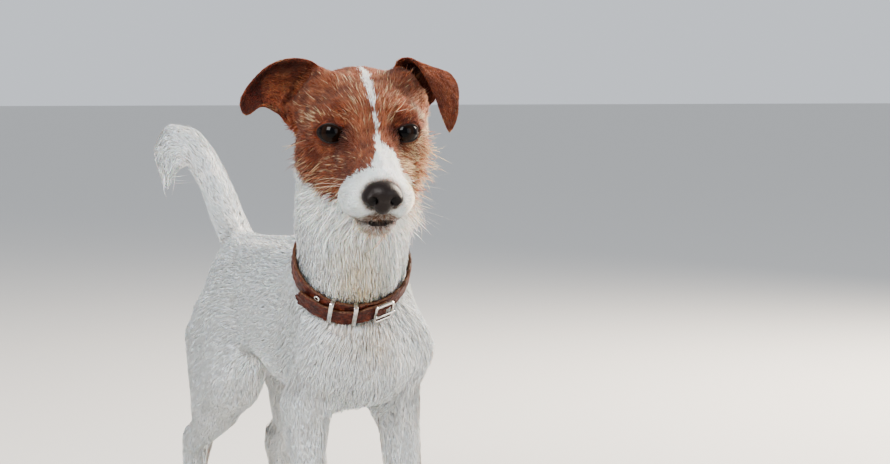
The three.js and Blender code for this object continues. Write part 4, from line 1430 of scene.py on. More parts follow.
@dataclass(frozen=True)
class CoatFinish:
    """The hair: matt, with some light passing into it."""

    roughness: float = 0.6
    scatter: float = 0.3
    scatter_depth: float = 0.0015

    def make(self, group: NodeTree) -> Material:
        """Makes the material.

        Args:
            group: The node group with the coat's colour.

        Returns:
            The material.
        """
        finish = Finish("Coat", Roughness=self.roughness, Specular_IOR_Level=0.3)
        finish.set(Base_Color=Pelt.color(finish.nodes, group), Sheen_Weight=0.05, Sheen_Roughness=0.4)
        finish.set(Subsurface_Weight=self.scatter, Subsurface_Scale=self.scatter_depth)
        return finish.material


@dataclass(frozen=True)
class SkinFinish:
    """The skin: the coat's colour near the roots, with their painted shade, and bare dark skin with a fine
    grain.
    """

    pelt: Pelt
    roughness: float = 0.75
    bare_gloss: float = 0.2  # how much less rough the bare skin is
    # how far along a tuft the skin's colour is read, with that much of the roots' painted shade
    near_root: float = 0.35

    def make(self, group: NodeTree) -> Material:
        """Makes the material.

        Args:
            group: The node group with the coat's colour.

        Returns:
            The material.
        """
        finish = Finish("Skin", Specular_IOR_Level=0.2)
        nodes = finish.nodes
        color = Pelt.color(nodes, group, tuft=self.near_root, along=self.near_root, inner=0.0, dark=0.0)
        # painted shade in the ears' hollows
        color = nodes.mix(nodes.math("MULTIPLY", nodes.attribute("inner"), 0.9), color, self.pelt.inner)
        bare = nodes.math("MAXIMUM", nodes.attribute("dark"), nodes.attribute("sole"))
        rough = nodes.math("SUBTRACT", self.roughness, nodes.math("MULTIPLY", bare, self.bare_gloss))
        finish.set(Base_Color=nodes.mix(bare, color, self.pelt.bare), Roughness=rough)
        grain = nodes.texture("Noise", 900.0, {"Detail": 3.0})
        finish.set(Normal=nodes.bump(grain.outputs["Fac"], 0.35, 0.0006))
        return finish.material


@dataclass(frozen=True)
class EyeFinish:
    """The eyeball: pupil, brown iris, dark limbus and sclera, by the turn from its gaze."""

    stops: tuple = (
        (0.0, tint(0.0015, 0.0012, 0.0015)),
        (0.205, tint(0.0015, 0.0012, 0.0015)),
        (0.24, tint(0.008, 0.0035, 0.002)),
        (0.42, tint(0.016, 0.007, 0.0035)),
        (0.52, tint(0.005, 0.0025, 0.002)),
        (0.60, tint(0.003, 0.002, 0.002)),
        (0.74, tint(0.012, 0.008, 0.007)),
        (1.0, tint(0.10, 0.07, 0.06)),
    )

    def make(self) -> Material:
        """Makes the material.

        Returns:
            The material.
        """
        finish = Finish("Eye", Roughness=0.04, IOR=1.376, Specular_IOR_Level=0.22)
        finish.set(Base_Color=finish.nodes.ramp(finish.nodes.attribute("polar"), self.stops))
        return finish.material


@dataclass(frozen=True)
class NoseFinish:
    """The nose leather: near black, pebbled, with painted shade darkening the nostrils."""

    leather: Color = tint(0.010, 0.0055, 0.0045)
    # painted shade inside the nostrils
    nostril: Color = tint(0.001, 0.0008, 0.0008)

    def make(self) -> Material:
        """Makes the material.

        Returns:
            The material.
        """
        finish = Finish("Nose leather", Roughness=0.42, Specular_IOR_Level=0.26)
        nodes = finish.nodes
        cells = nodes.texture("Voronoi", 1250.0, feature="SMOOTH_F1").outputs["Distance"]
        # hollow: the nostrils, darkened as painted shade
        color = nodes.mix(nodes.attribute("hollow"), self.leather, self.nostril)
        finish.set(Base_Color=color, Normal=nodes.bump(cells, 0.5, 0.0004, invert=True))
        return finish.material


@dataclass(frozen=True)
class HornFinish:
    """The claws' horn, in two browns."""

    stops: tuple = ((0.3, tint(0.075, 0.052, 0.038)), (0.75, tint(0.20, 0.15, 0.11)))

    def make(self) -> Material:
        """Makes the material.

        Returns:
            The material.
        """
        finish = Finish("Claw horn", Roughness=0.36)
        grain = finish.nodes.texture("Noise", 420.0, {"Detail": 2.0})
        finish.set(Base_Color=finish.nodes.ramp(grain.outputs["Fac"], self.stops))
        return finish.material


@dataclass(frozen=True)
class LeatherFinish:
    """The collar's worn leather: russet, cracked, pale where it has rubbed."""

    stops: tuple = (
        (0.3, tint(0.018, 0.004, 0.003)),
        (0.52, tint(0.080, 0.014, 0.007)),
        (0.75, tint(0.25, 0.064, 0.025)),
    )
    cut_edge: Color = tint(0.10, 0.042, 0.02)
    crack: Color = tint(0.35, 0.3, 0.28)

    def make(self) -> Material:
        """Makes the material.

        Returns:
            The material.
        """
        finish = Finish("Collar leather", Roughness=0.45, Specular_IOR_Level=0.32)
        nodes = finish.nodes
        blotch = nodes.texture("Noise", 170.0, {"Detail": 6.0, "Roughness": 0.65}).outputs["Fac"]
        cracks = nodes.texture("Voronoi", 420.0, feature="DISTANCE_TO_EDGE").outputs["Distance"]
        line = nodes.math("MULTIPLY", cracks, 9.0, clamp=True)
        color = nodes.mix(nodes.attribute("cut_edge"), nodes.ramp(blotch, self.stops), self.cut_edge)
        shadow = nodes.mix(line, self.crack, tint(1, 1, 1))
        height = nodes.math("ADD", nodes.math("MULTIPLY", line, 0.5), blotch)
        color = nodes.mix(1.0, color, shadow, "MULTIPLY")
        finish.set(Base_Color=color, Normal=nodes.bump(height, 0.7, 0.0007))
        return finish.material


@dataclass(frozen=True)
class SteelFinish:
    """The buckle's bright steel with fine wear."""

    color: Color = tint(0.62, 0.60, 0.57)
    polish: float = 0.08
    wear: float = 0.2

    def make(self) -> Material:
        """Makes the material.

        Returns:
            The material.
        """
        finish = Finish("Steel", Metallic=1.0, Base_Color=self.color)
        nodes = finish.nodes
        grain = nodes.texture("Noise", 300.0, {"Detail": 4.0}).outputs["Fac"]
        finish.set(Roughness=nodes.math("ADD", nodes.math("MULTIPLY", grain, self.wear), self.polish))
        return finish.material


def finish_piece(piece: Object, material: Material, slot: str, *nodes: str) -> None:
    """Gives a piece its material, says what it is in the frame and reports it.

    Args:
        piece: The object.
        material: Its material.
        slot: A material slot's name, which is not used.
        *nodes: CAD nodes that it takes the place of.
    """
    piece.data.materials.clear()
    piece.data.materials.append(material)
    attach(piece, ROOT)
    if nodes:
        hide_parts(*nodes)
    log.info("%s: %d faces", piece.name, len(piece.data.polygons))


# ---------------- the coat
@dataclass(frozen=True)
class Template:
    """One tuft as a closed leaf of three edges: a root, rings of left, right and ridge, a tip."""

    rings: tuple[float, ...]  # how far along the tuft each ring is
    widths: tuple[float, ...]

    @property
    def cost(self) -> int:
        """Returns its number of triangles."""
        return 6 * len(self.rings)

    def faces(self) -> Array:
        """Makes its triangles.

        Returns:
            The triangles, all facing outwards.
        """
        made = [(0, 1, 2), (0, 3, 1), (0, 2, 3)]
        for ring in range(len(self.rings) - 1):
            left = 1 + 3 * ring
            right, ridge = left + 1, left + 2
            made += [(left, left + 3, right + 3), (left, right + 3, right), (ridge, ridge + 3, left + 3)]
            made += [(ridge, left + 3, left), (ridge, right, right + 3), (ridge, right + 3, ridge + 3)]
        a = 3 * len(self.rings) - 2
        tip = a + 3
        return np.array(made + [(a, tip, a + 1), (a + 2, tip, a), (a + 2, a + 1, tip)])

    def patch(self) -> Array:
        """Lays the tuft out flat.

        Returns:
            The place of each of its points, from 0 to 1 both ways.
        """
        made = [(0.5, 0.0)]
        for t, w in zip(self.rings, self.widths):
            made += [(0.5 - 0.5 * w, t), (0.5 + 0.5 * w, t), (0.5, t + 0.07)]
        return np.array(made + [(0.5, 1.0)])

    def along(self) -> Array:
        """Returns how far along the tuft each of its points is."""
        return np.array([0.0] + [t for t in self.rings for _ in range(3)] + [1.0])


LONG_TUFT = Template((0.3, 0.68), (1.0, 0.8))
SHORT_TUFT = Template((0.4,), (1.0,))


@dataclass
class Tufts:
    """Many tufts: where each is rooted, how it lies and its colours."""

    triangle: Array  # the skin's triangle that it is rooted in
    share: Array  # of each corner of that triangle in its root
    root: Array
    middle: Array
    tip: Array
    up: Array
    width: Array
    ridge: Array  # the height of its third edge
    long: Array  # whether it has two rings
    colors: Values

    def only(self, kept: Array) -> "Tufts":
        """Returns the kept tufts."""
        rows = {name: value[kept] for name, value in vars(self).items() if name != "colors"}
        return Tufts(colors={name: value[kept] for name, value in self.colors.items()}, **rows)


@dataclass
class Coat:
    """The coat: thin overlapping tufts that lie on the skin as the zones say."""

    skin: Skin
    zones: CoatMap
    marks: Marks
    budget: int = 1_420_000  # triangles in all, before the wisps get their second ring
    most_in_piece: int = 185_000  # triangles in one piece at most
    leaf_fill: float = 0.52  # how much of its length times its width a tuft covers
    long_over: float = 14.2  # tufts longer than this have two rings
    patch: float = 0.003  # how wide a tuft's place on the map is
    seed: int = 7
    wisps: float = 0.15  # how many tufts stand off the coat where it is roughest
    strays: float = 0.05  # how many are longer and thinner than their neighbours
    strands: float = 0.62  # how many tan tufts are pale single strands where the coat is streaked
    rng: np.random.Generator = field(init=False)
    tree: BVHTree = field(init=False)

    def __post_init__(self) -> None:
        """Starts the draws and makes a tree of the skin's triangles."""
        self.rng = np.random.default_rng(self.seed)
        self.tree = BVHTree.FromPolygons(self.skin.points.tolist(), self.skin.faces.tolist())

    def build(self, material: Material) -> list[Object]:
        """Grows the coat.

        Args:
            material: The hair's material.

        Returns:
            The coat's pieces.
        """
        skin = self.skin
        flow, numbers = self.zones.at(skin.points)
        ears = skin.ears.at(skin.points)
        on = ears["on"][:, None]
        flow = unit(flow * (1 - on) + ears["tip"] * on)
        ear_hair = np.array([getattr(Kind.EAR.value, name) for name in CoatMap.FIELDS])
        short = on * smoothstep(ears["v"], 0.1, 0.42)[:, None]
        share = np.hstack([short, short, on, on, on])  # in the order of FIELDS
        numbers = numbers * (1 - share) + ear_hair * share
        values = self.marks.at(skin.points, ears)
        # inner: painted shade in the ears' hollows
        values |= {"inner": skin.ear_hollow_shade(ears), "bare": self._bare(), "ear": ears["on"]}
        tufts = self._grow(flow, numbers, values)
        pieces = []
        for i, cell in enumerate(self._cells(tufts)):
            piece = self._piece(f"coat_{i + 1}", tufts, cell)
            slot = "white_coat" if tufts.colors["tan"][cell].mean() < 0.5 else "tan_coat"
            finish_piece(piece, material, slot)
            pieces.append(piece)
        log.info("coat: %d tufts in %d pieces", len(tufts.root), len(pieces))
        return pieces

    def _bare(self) -> Array:
        """Finds where no hair grows: lids, nose, lips, soles and under the collar.

        Returns:
            1 at bare points of the skin, 0 at haired ones.
        """
        points = self.skin.points
        p = HEAD.local(points)
        philtrum, _ = to_segment(p, *PHILTRUM)
        sole = (1 - smoothstep(points[:, 2], 1.0, 2.4)) * smoothstep(-self.skin.normals[:, 2], 0.3, 0.6)
        local, radius = in_collar(points)
        under = (1 - smoothstep(np.abs(local[:, 1]), 3.5, 4.5)) * (radius < 55)
        bare = [
            inside(p, NOSE_AT, (13.0, 13.0, 10.3), 0.93, 1.02),
            1 - smoothstep(to_mouth(p), 0.8, 1.5),
            inside(p, LIPS_AT, (10.5, 8, 1.5), 0.9, 1.1),
            1 - smoothstep(philtrum, 0.5, 1.1),
            sole,
            under,
        ]
        for eye in EYES:
            near = np.linalg.norm(points - eye.centre(), axis=1) < 22
            bare.append(near * (1 - smoothstep(eye.gap(points)[0], 0.5, 1.0)))
        return np.max(bare, axis=0)

    def _grow(self, flow: Array, numbers: Array, values: Values) -> Tufts:
        """Roots the tufts evenly over the skin and bends them along it.

        Args:
            flow: The way the coat lies at each point of the skin.
            numbers: The numbers of the coat there.
            values: Its colours there, and where the skin is bare.

        Returns:
            The tufts.
        """
        skin, rng = self.skin, self.rng
        triangle, scale = self._roots(numbers, values["bare"])
        count = len(triangle)
        share = rng.dirichlet((1, 1, 1), count)
        pick = skin.faces[triangle]

        def spread(data: Array) -> Array:
            """Returns what the skin has at its points, at the tufts' roots."""
            return np.einsum("ij,ij...->i...", share, data[pick])

        root, normal = spread(skin.points), unit(spread(skin.normals))
        fields, lie = spread(numbers), spread(flow)
        colors = {name: spread(value) for name, value in values.items() if name != "bare"}
        widen = 1 / math.sqrt(min(scale, 1))
        length, width, depth, rise = fields[:, 0], fields[:, 1] * widen, fields[:, 2], fields[:, 3]
        kept = rng.random(count) > spread(values["bare"])
        jitter = rng.normal(size=(count, 4))
        lie = unit(lie - normal * np.einsum("ij,ij->i", lie, normal)[:, None])
        side = np.cross(lie, normal)
        mixed = rng.random(count)
        tan = colors["tan"] > 0.25 + 0.5 * mixed
        strand = tan & (colors["ear"] < 0.2) & (rng.random(count) < 0.006 + self.strands * colors["blond"])
        in_head = HEAD.local(root)
        length = length * (0.42 + 0.58 * smoothstep(nearness(in_head, NOSE_AT, NOSE_SIZE), 0.95, 1.5))
        length = length * (0.38 + 0.62 * smoothstep(to_mouth(in_head), 2.0, 9.0))
        wild = 0.32 + 0.8 * np.clip(rise / depth, 0, 1.3)
        turn = wild * (0.13 * Waves(26, 21)(root) + 0.13 * Waves(9, 22)(root) + 0.13 * jitter[:, 0])
        lie = turned(lie, side, turn)
        stray = rng.random(count) < self.strays
        length = length * np.clip(1 + 0.18 * jitter[:, 1], 0.6, 1.5) * np.where(stray, 1.35, 1.0)
        width = width * np.clip(1 + 0.2 * jitter[:, 2], 0.6, 1.5) * np.where(stray, 0.7, 1.0)
        length, width = length * np.where(strand, 1.4, 1.0), width * np.where(strand, 0.62, 1.0)
        lock = np.clip(0.5 + 0.3 * Waves(7, 23)(root) + 0.22 * Waves(3.1, 24)(root), 0, 1)
        rough = np.clip(rise / depth, 0.08, 1)
        lift = 0.68 + (0.05 + 0.42 * rough) * (lock - 0.5) + (0.07 + 0.34 * rough) * (rng.random(count) - 0.5)
        loose = rise * (0.75 * lock**2 + 0.25) * rng.random(count) ** 2 * np.where(stray, 1.7, 1.0)
        lift, loose = np.where(strand, 0.95, lift), loose + 0.5 * strand
        flat = 0.72 + 0.2 * (1 - smoothstep(rough, 0.08, 0.5))
        middle = self._over_skin(root + lie * (length * 0.5)[:, None], depth * lift * flat + 0.25 * loose)
        tip = self._over_skin(root + lie * length[:, None], depth * lift + loose)
        at_eye = np.min([np.linalg.norm(root - eye.centre(), axis=1) for eye in EYES], axis=0)
        roughest = np.clip((rise - 1) / 6, 0, 1.1) ** 2 * smoothstep(at_eye, 16, 20)
        wisp = rng.random(count) < self.wisps * roughest
        reach = length * (1.05 + 0.65 * rng.random(count))
        for places, part, low, high in ((middle, 0.5, 0.45, 0.85), (tip, 1.0, 0.25, 0.75)):
            away = turned(lie, normal, rng.uniform(low, high, count))
            places[wisp] = (root + away * (reach * part)[:, None])[wisp]
        width = np.where(wisp, width * 1.15, width)
        made = Tufts(
            triangle=triangle,
            share=share,
            root=root - normal * np.minimum(0.5, 0.3 * depth)[:, None],
            middle=self._clear(middle),
            tip=self._clear(tip),
            up=turned(normal, side, (0.08 + 0.5 * rough) * jitter[:, 3]),
            width=width,
            ridge=width * (0.07 + 0.37 * smoothstep(rough, 0.08, 0.45)),
            long=(length > self.long_over) | wisp,
            colors=self._dye(colors, tan, strand, wisp & (mixed < 0.22)),
        )
        return made.only(kept)

    def _roots(self, numbers: Array, bare: Array) -> tuple[Array, float]:
        """Chooses the triangle of the skin that each tuft is rooted in.

        Args:
            numbers: The numbers of the coat at the skin's points.
            bare: Where the skin is bare.

        Returns:
            The number of each tuft's triangle, and how many of the wanted tufts fit the budget.
        """
        points, faces = self.skin.points, self.skin.faces
        length, width, _, _, cover = numbers[faces].mean(1).T
        area = np.linalg.norm(face_normals(points, faces), axis=1) / 2
        haired = 1 - bare[faces].mean(1)
        wanted = cover * haired / (length * width * self.leaf_fill) * area
        cost = np.where(length > self.long_over, LONG_TUFT.cost, SHORT_TUFT.cost)
        scale = self.budget / (wanted * cost).sum()
        order = self._spatial_order(points[faces].mean(1))
        total = np.cumsum(wanted[order] * scale)
        count = int(total[-1])
        chosen = np.searchsorted(total, np.arange(count) + self.rng.random(count))
        return order[np.minimum(chosen, len(order) - 1)], scale

    def _dye(self, colors: Values, tan: Array, strand: Array, pale: Array) -> Values:
        """Gives each tuft its own colours.

        Args:
            colors: The colours of the skin at the roots.
            tan: Which tufts are tan.
            strand: Which are pale single strands.
            pale: Which others stand off the coat and are pale.

        Returns:
            The tufts' colours.
        """
        tuft = self.rng.random(len(tan))
        pale_amount = np.clip(colors["blond"] * np.where(tan, 0.2 + 1.7 * tuft, 0.45 + 0.9 * tuft), 0, 1)
        single = np.where(strand, 0.7 + 0.3 * tuft, 0.15 * pale_amount)
        single = np.where(pale, np.maximum(single, 0.6), single)
        return colors | {
            "tuft": tuft,
            "tan": tan.astype(float),
            "blond": np.where(tan & (colors["ear"] < 0.2), single, pale_amount),
            "dark": np.clip(colors["dark"] * (0.5 + 0.5 * tuft), 0, 1),
            "stain": np.clip(colors["stain"] * (0.6 + 0.6 * tuft), 0, 1) * (1 - 0.7 * tan),
        }

    @staticmethod
    def _spatial_order(places: Array) -> Array:
        """Orders places so that those that follow each other are near each other.

        Args:
            places: The places.

        Returns:
            Their numbers, in the order of the interleaved bits of their cells.
        """
        cells = ((places - places.min(0)) / 2.0).astype(np.int64)
        code = np.zeros(len(places), np.int64)
        for bit in range(9):
            for axis in range(3):
                code |= ((cells[:, axis] >> bit) & 1) << (3 * bit + axis)
        return np.argsort(code, kind="stable")

    def _over_skin(self, places: Array, height: Array) -> Array:
        """Moves places to a height over the nearest skin.

        Args:
            places: The places.
            height: The height of each.

        Returns:
            The moved places.
        """
        found = [self.tree.find_nearest(place) for place in places]
        foot = np.array([f[0] for f in found])
        index = np.array([f[2] for f in found])
        normal = unit(self.skin.normals[self.skin.faces[index]].mean(1))
        return foot + normal * height[:, None]

    @staticmethod
    def _clear(places: Array) -> Array:
        """Presses places in where the collar lies over them, and up off the floor.

        Args:
            places: The places.

        Returns:
            The moved places.
        """
        local, radius = in_collar(places)
        angle = np.degrees(np.arctan2(local[:, 0], local[:, 2]))
        sag = COLLAR_SAG * (1 - smoothstep(angle, *SAG_ANGLES)) * (angle > -64) * (angle < 34)
        under = (local[:, 1] < COLLAR_HALF + 0.8) & (local[:, 1] > -COLLAR_HALF - 0.8 - sag) & (radius < 62)
        most = np.where(under, COLLAR_RADIUS - 0.5, 1e3)
        local[:, [0, 2]] *= np.minimum(1, most / np.maximum(radius, 1e-6))[:, None]
        cleared = COLLAR.world(local)
        cleared[:, 2] = np.maximum(cleared[:, 2], 0.25)
        return cleared

    def _cells(self, tufts: Tufts) -> list[Array]:
        """Splits the skin's triangles in halves until each cell's tufts fit in one piece.

        Args:
            tufts: All tufts.

        Returns:
            The numbers of the tufts in each cell.
        """
        centres = self.skin.points[self.skin.faces].mean(1)
        each = np.where(tufts.long, LONG_TUFT.cost, SHORT_TUFT.cost)
        cost = np.bincount(tufts.triangle, each, len(centres))
        waiting, done = [np.arange(len(centres))], []
        while waiting:
            cell = waiting.pop()
            if cost[cell].sum() <= self.most_in_piece:
                done.append(cell)
                continue
            axis = int(np.argmax(np.ptp(centres[cell], axis=0)))
            order = cell[np.argsort(centres[cell, axis], kind="stable")]
            half = np.searchsorted(np.cumsum(cost[order]), cost[order].sum() / 2)
            waiting += [order[:half], order[half:]]
        owner = np.zeros(len(centres), int)
        for i, cell in enumerate(done):
            owner[cell] = i
        of_tuft = owner[tufts.triangle]
        return [np.flatnonzero(of_tuft == i) for i in range(len(done))]

    def _unwrap(self, triangles: Array) -> Array:
        """Unwraps a part of the skin by its own shape.

        Args:
            triangles: Numbers of the skin's triangles.

        Returns:
            The place of each corner of those triangles on the flat map.
        """
        used = self.skin.faces[triangles]
        kept = np.unique(used)
        part = new_object("part", self.skin.points[kept], np.searchsorted(kept, used))
        bpy.context.view_layer.objects.active = part
        part.select_set(True)
        bpy.ops.object.mode_set(mode="EDIT")
        bpy.ops.mesh.select_all(action="SELECT")
        bpy.ops.uv.smart_project(angle_limit=math.radians(66), island_margin=0.004)
        bpy.ops.object.mode_set(mode="OBJECT")
        mesh = part.data
        flat = np.zeros(len(mesh.loops) * 2, np.float32)
        mesh.uv_layers.active.data.foreach_get("uv", flat)
        bpy.data.objects.remove(part)
        bpy.data.meshes.remove(mesh)
        return flat.reshape(-1, 3, 2)

    def _piece(self, name: str, tufts: Tufts, cell: Array) -> Object:
        """Makes one piece of the coat.

        Args:
            name: Its name.
            tufts: All tufts.
            cell: The numbers of the tufts that are in it.

        Returns:
            The object, with its colours and its map.
        """
        triangles = np.unique(tufts.triangle[cell])
        corners = self._unwrap(triangles)
        parts, maps, values = [], [], {key: [] for key in Pelt.INPUTS}
        for template, chosen in ((LONG_TUFT, tufts.long[cell]), (SHORT_TUFT, ~tufts.long[cell])):
            some = cell[chosen]
            if not len(some):
                continue
            leaves = self._leaves(tufts, some, template)
            size = leaves.shape[1]
            tris = template.faces()
            each = tris[None] + (np.arange(len(some)) * size)[:, None, None]
            parts.append((leaves.reshape(-1, 3), each.reshape(-1, 3)))
            at = corners[np.searchsorted(triangles, tufts.triangle[some])]
            home = np.einsum("ij,ijk->ik", tufts.share[some], at)
            home = np.clip(home, self.patch, 1 - self.patch)
            flat = home[:, None] + (template.patch() - 0.5) * self.patch
            maps.append(flat[:, tris].reshape(-1, 2))
            for key in Pelt.INPUTS:
                along = np.tile(template.along(), len(some))
                values[key].append(along if key == "along" else np.repeat(tufts.colors[key][some], size))
        piece = new_object(name, *stacked(parts))
        layer = piece.data.uv_layers.new(name="OFBake")
        layer.data.foreach_set("uv", np.ascontiguousarray(np.vstack(maps), np.float32).ravel())
        for key, lists in values.items():
            store(piece.data, key, np.concatenate(lists))
        return piece

    @staticmethod
    def _leaves(tufts: Tufts, some: Array, template: Template) -> Array:
        """Bends tufts through their root, middle and tip.

        Args:
            tufts: All tufts.
            some: The numbers of those that are bent.
            template: Their template.

        Returns:
            The points of each tuft.
        """
        root, middle, tip = tufts.root[some], tufts.middle[some], tufts.tip[some]
        width, ridge, up = tufts.width[some][:, None], tufts.ridge[some][:, None], tufts.up[some]
        along = unit(tip - root)
        side = unit(np.cross(along, up))
        rows = [root]
        for t, w in zip(template.rings, template.widths):
            at = root * (1 - t) * (1 - 2 * t) + middle * 4 * t * (1 - t) + tip * t * (2 * t - 1)
            rows += [at - side * width * w / 2, at + side * width * w / 2, at + up * ridge * w]
        return np.stack(rows + [tip], axis=1)


# ---------------- face
@dataclass
class Eyeball:
    """A fine eyeball with a raised cornea, looking the way that the dog looks."""

    eye: Eye
    gaze: Place = (-0.165, -0.929, 0.33)
    segments: int = 64
    rings: int = 40
    cornea_turn: float = math.radians(46)
    cornea_rise: float = 0.55

    def build(self, material: Material) -> Object:
        """Builds the eyeball.

        Args:
            material: Its material.

        Returns:
            The eyeball.
        """
        gaze = unit(HEAD.turned(np.array(self.gaze)))
        side = unit(np.cross(gaze, (0, 0, 1)))
        up = np.cross(side, gaze)
        shell = bmesh.new()
        bmesh.ops.create_uvsphere(shell, u_segments=self.segments, v_segments=self.rings, radius=1.0)
        bmesh.ops.reverse_faces(shell, faces=shell.faces)  # side, up and gaze are a mirror image
        away = np.array([vertex.co for vertex in shell.verts])
        tilt = np.arccos(np.clip(away[:, 2], -1, 1))
        cornea = np.clip(1 - (tilt / self.cornea_turn) ** 2, 0, 1)
        radius = EYE_RADIUS - 0.1 + self.cornea_rise * cornea
        points = self.eye.centre() + (away * radius[:, None]) @ np.array([side, up, gaze])
        made = object_of(shell, f"eyeball_{self.eye.name}")
        made.data.vertices.foreach_set("co", np.ascontiguousarray(points * MM, np.float32).ravel())
        store(made.data, "polar", np.clip(tilt / (math.pi / 2), 0, 1))
        finish_piece(made, material, "eye_gloss", f"eye_{self.eye.name}")
        return made


def ellipsoid(points: Array, centre: tuple, radii: tuple, tilt: float = 0.0) -> Array:
    """Measures points roughly against an ellipsoid.

    Args:
        points: The points.
        centre: The ellipsoid's middle.
        radii: Half its width, depth and height.
        tilt: Its tilt about X in degrees.

    Returns:
        The distance of each point from its surface, less than 0 inside.
    """
    p = points - np.array(centre)
    c, s = math.cos(math.radians(tilt)), math.sin(math.radians(tilt))
    p = np.stack([p[:, 0], c * p[:, 1] + s * p[:, 2], -s * p[:, 1] + c * p[:, 2]], axis=1)
    near = np.linalg.norm(p / radii, axis=1)
    return near * (near - 1) / np.maximum(np.linalg.norm(p / np.square(radii), axis=1), 1e-6)


def cone(points: Array, start: tuple, end: tuple, first: float, last: float) -> Array:
    """Returns the distance of points from a round rod that tapers between two radii."""
    distance, t = to_segment(points, start, end)
    return distance - (first + (last - first) * t)


def blended(a: Array, b: Array, soft: float) -> Array:
    """Returns the union of two fields with the join rounded."""
    h = np.clip(0.5 + 0.5 * (b - a) / soft, 0, 1)
    return b + (a - b) * h - soft * h * (1 - h)


@dataclass
class Nose:
    """The nose leather, with nostrils that curl back to the sides and a parted lip below."""

    centre: Place = (0, -73, -22)
    detail: int = 6
    far: float = 26.0  # from its middle to a place outside it, all round
    near: float = 2.0
    rounds: int = 70

    def field(self, p: Array) -> Array:
        """Measures places against the leather's surface.

        Args:
            p: Places in the head's axes.

        Returns:
            Their distance from it.
        """
        q = np.abs(p * (1, 0, 0)) + p * (0, 1, 1)
        body = ellipsoid(q, (0, -73, -20.0), (12.9, 11.8, 9.1), -14)
        wing = ellipsoid(q, (9.2, -74.5, -22.6), (5.6, 9.4, 5.4))
        whole = blended(body, wing, 2.5)
        whole = blended(whole, ellipsoid(q, (0, -76.0, -27.8), (6.4, 6.8, 6.4)), 3.5)
        parting = cone(q, (0, -90, -24), (0, -83, -36), 0.7, 1.0)
        cut = -blended(-whole, self.pit(q), 1.4)
        return -blended(-cut, parting, 1.2)

    @staticmethod
    def pit(q: Array) -> Array:
        """Returns the distance of places from the nostril and the slit that runs back from it."""
        hole = cone(q, (9.3, -90, -21.5), (6.5, -76, -23), 4.0, 2.4)
        return np.minimum(hole, cone(q, (10.5, -86, -24.5), (15.5, -75, -28.5), 1.8, 1.1))

    def build(self, material: Material) -> Object:
        """Builds the nose by drawing a ball in on to its surface.

        Args:
            material: Its material.

        Returns:
            The nose.
        """
        shell = bmesh.new()
        bmesh.ops.create_icosphere(shell, subdivisions=self.detail, radius=1.0)
        away = unit(np.array([vertex.co for vertex in shell.verts]))
        faces = np.array([[vertex.index for vertex in face.verts] for face in shell.faces])
        shell.free()
        centre = np.array(self.centre)
        far = np.full(len(away), self.far)
        for _ in range(self.rounds):
            far = np.maximum(far - 0.6 * self.field(centre + away * far[:, None]), self.near)
        places = centre + away * far[:, None]
        made = new_object("nose_leather", HEAD.world(places), faces)
        mirrored_places = np.abs(places * (1, 0, 0)) + places * (0, 1, 1)
        # marks the nostrils, which the leather's finish darkens as painted shade
        store(made.data, "hollow", 1 - smoothstep(self.pit(mirrored_places), -0.3, 0.7))
        finish_piece(made, material, "nose_leather", "nose")
        return made


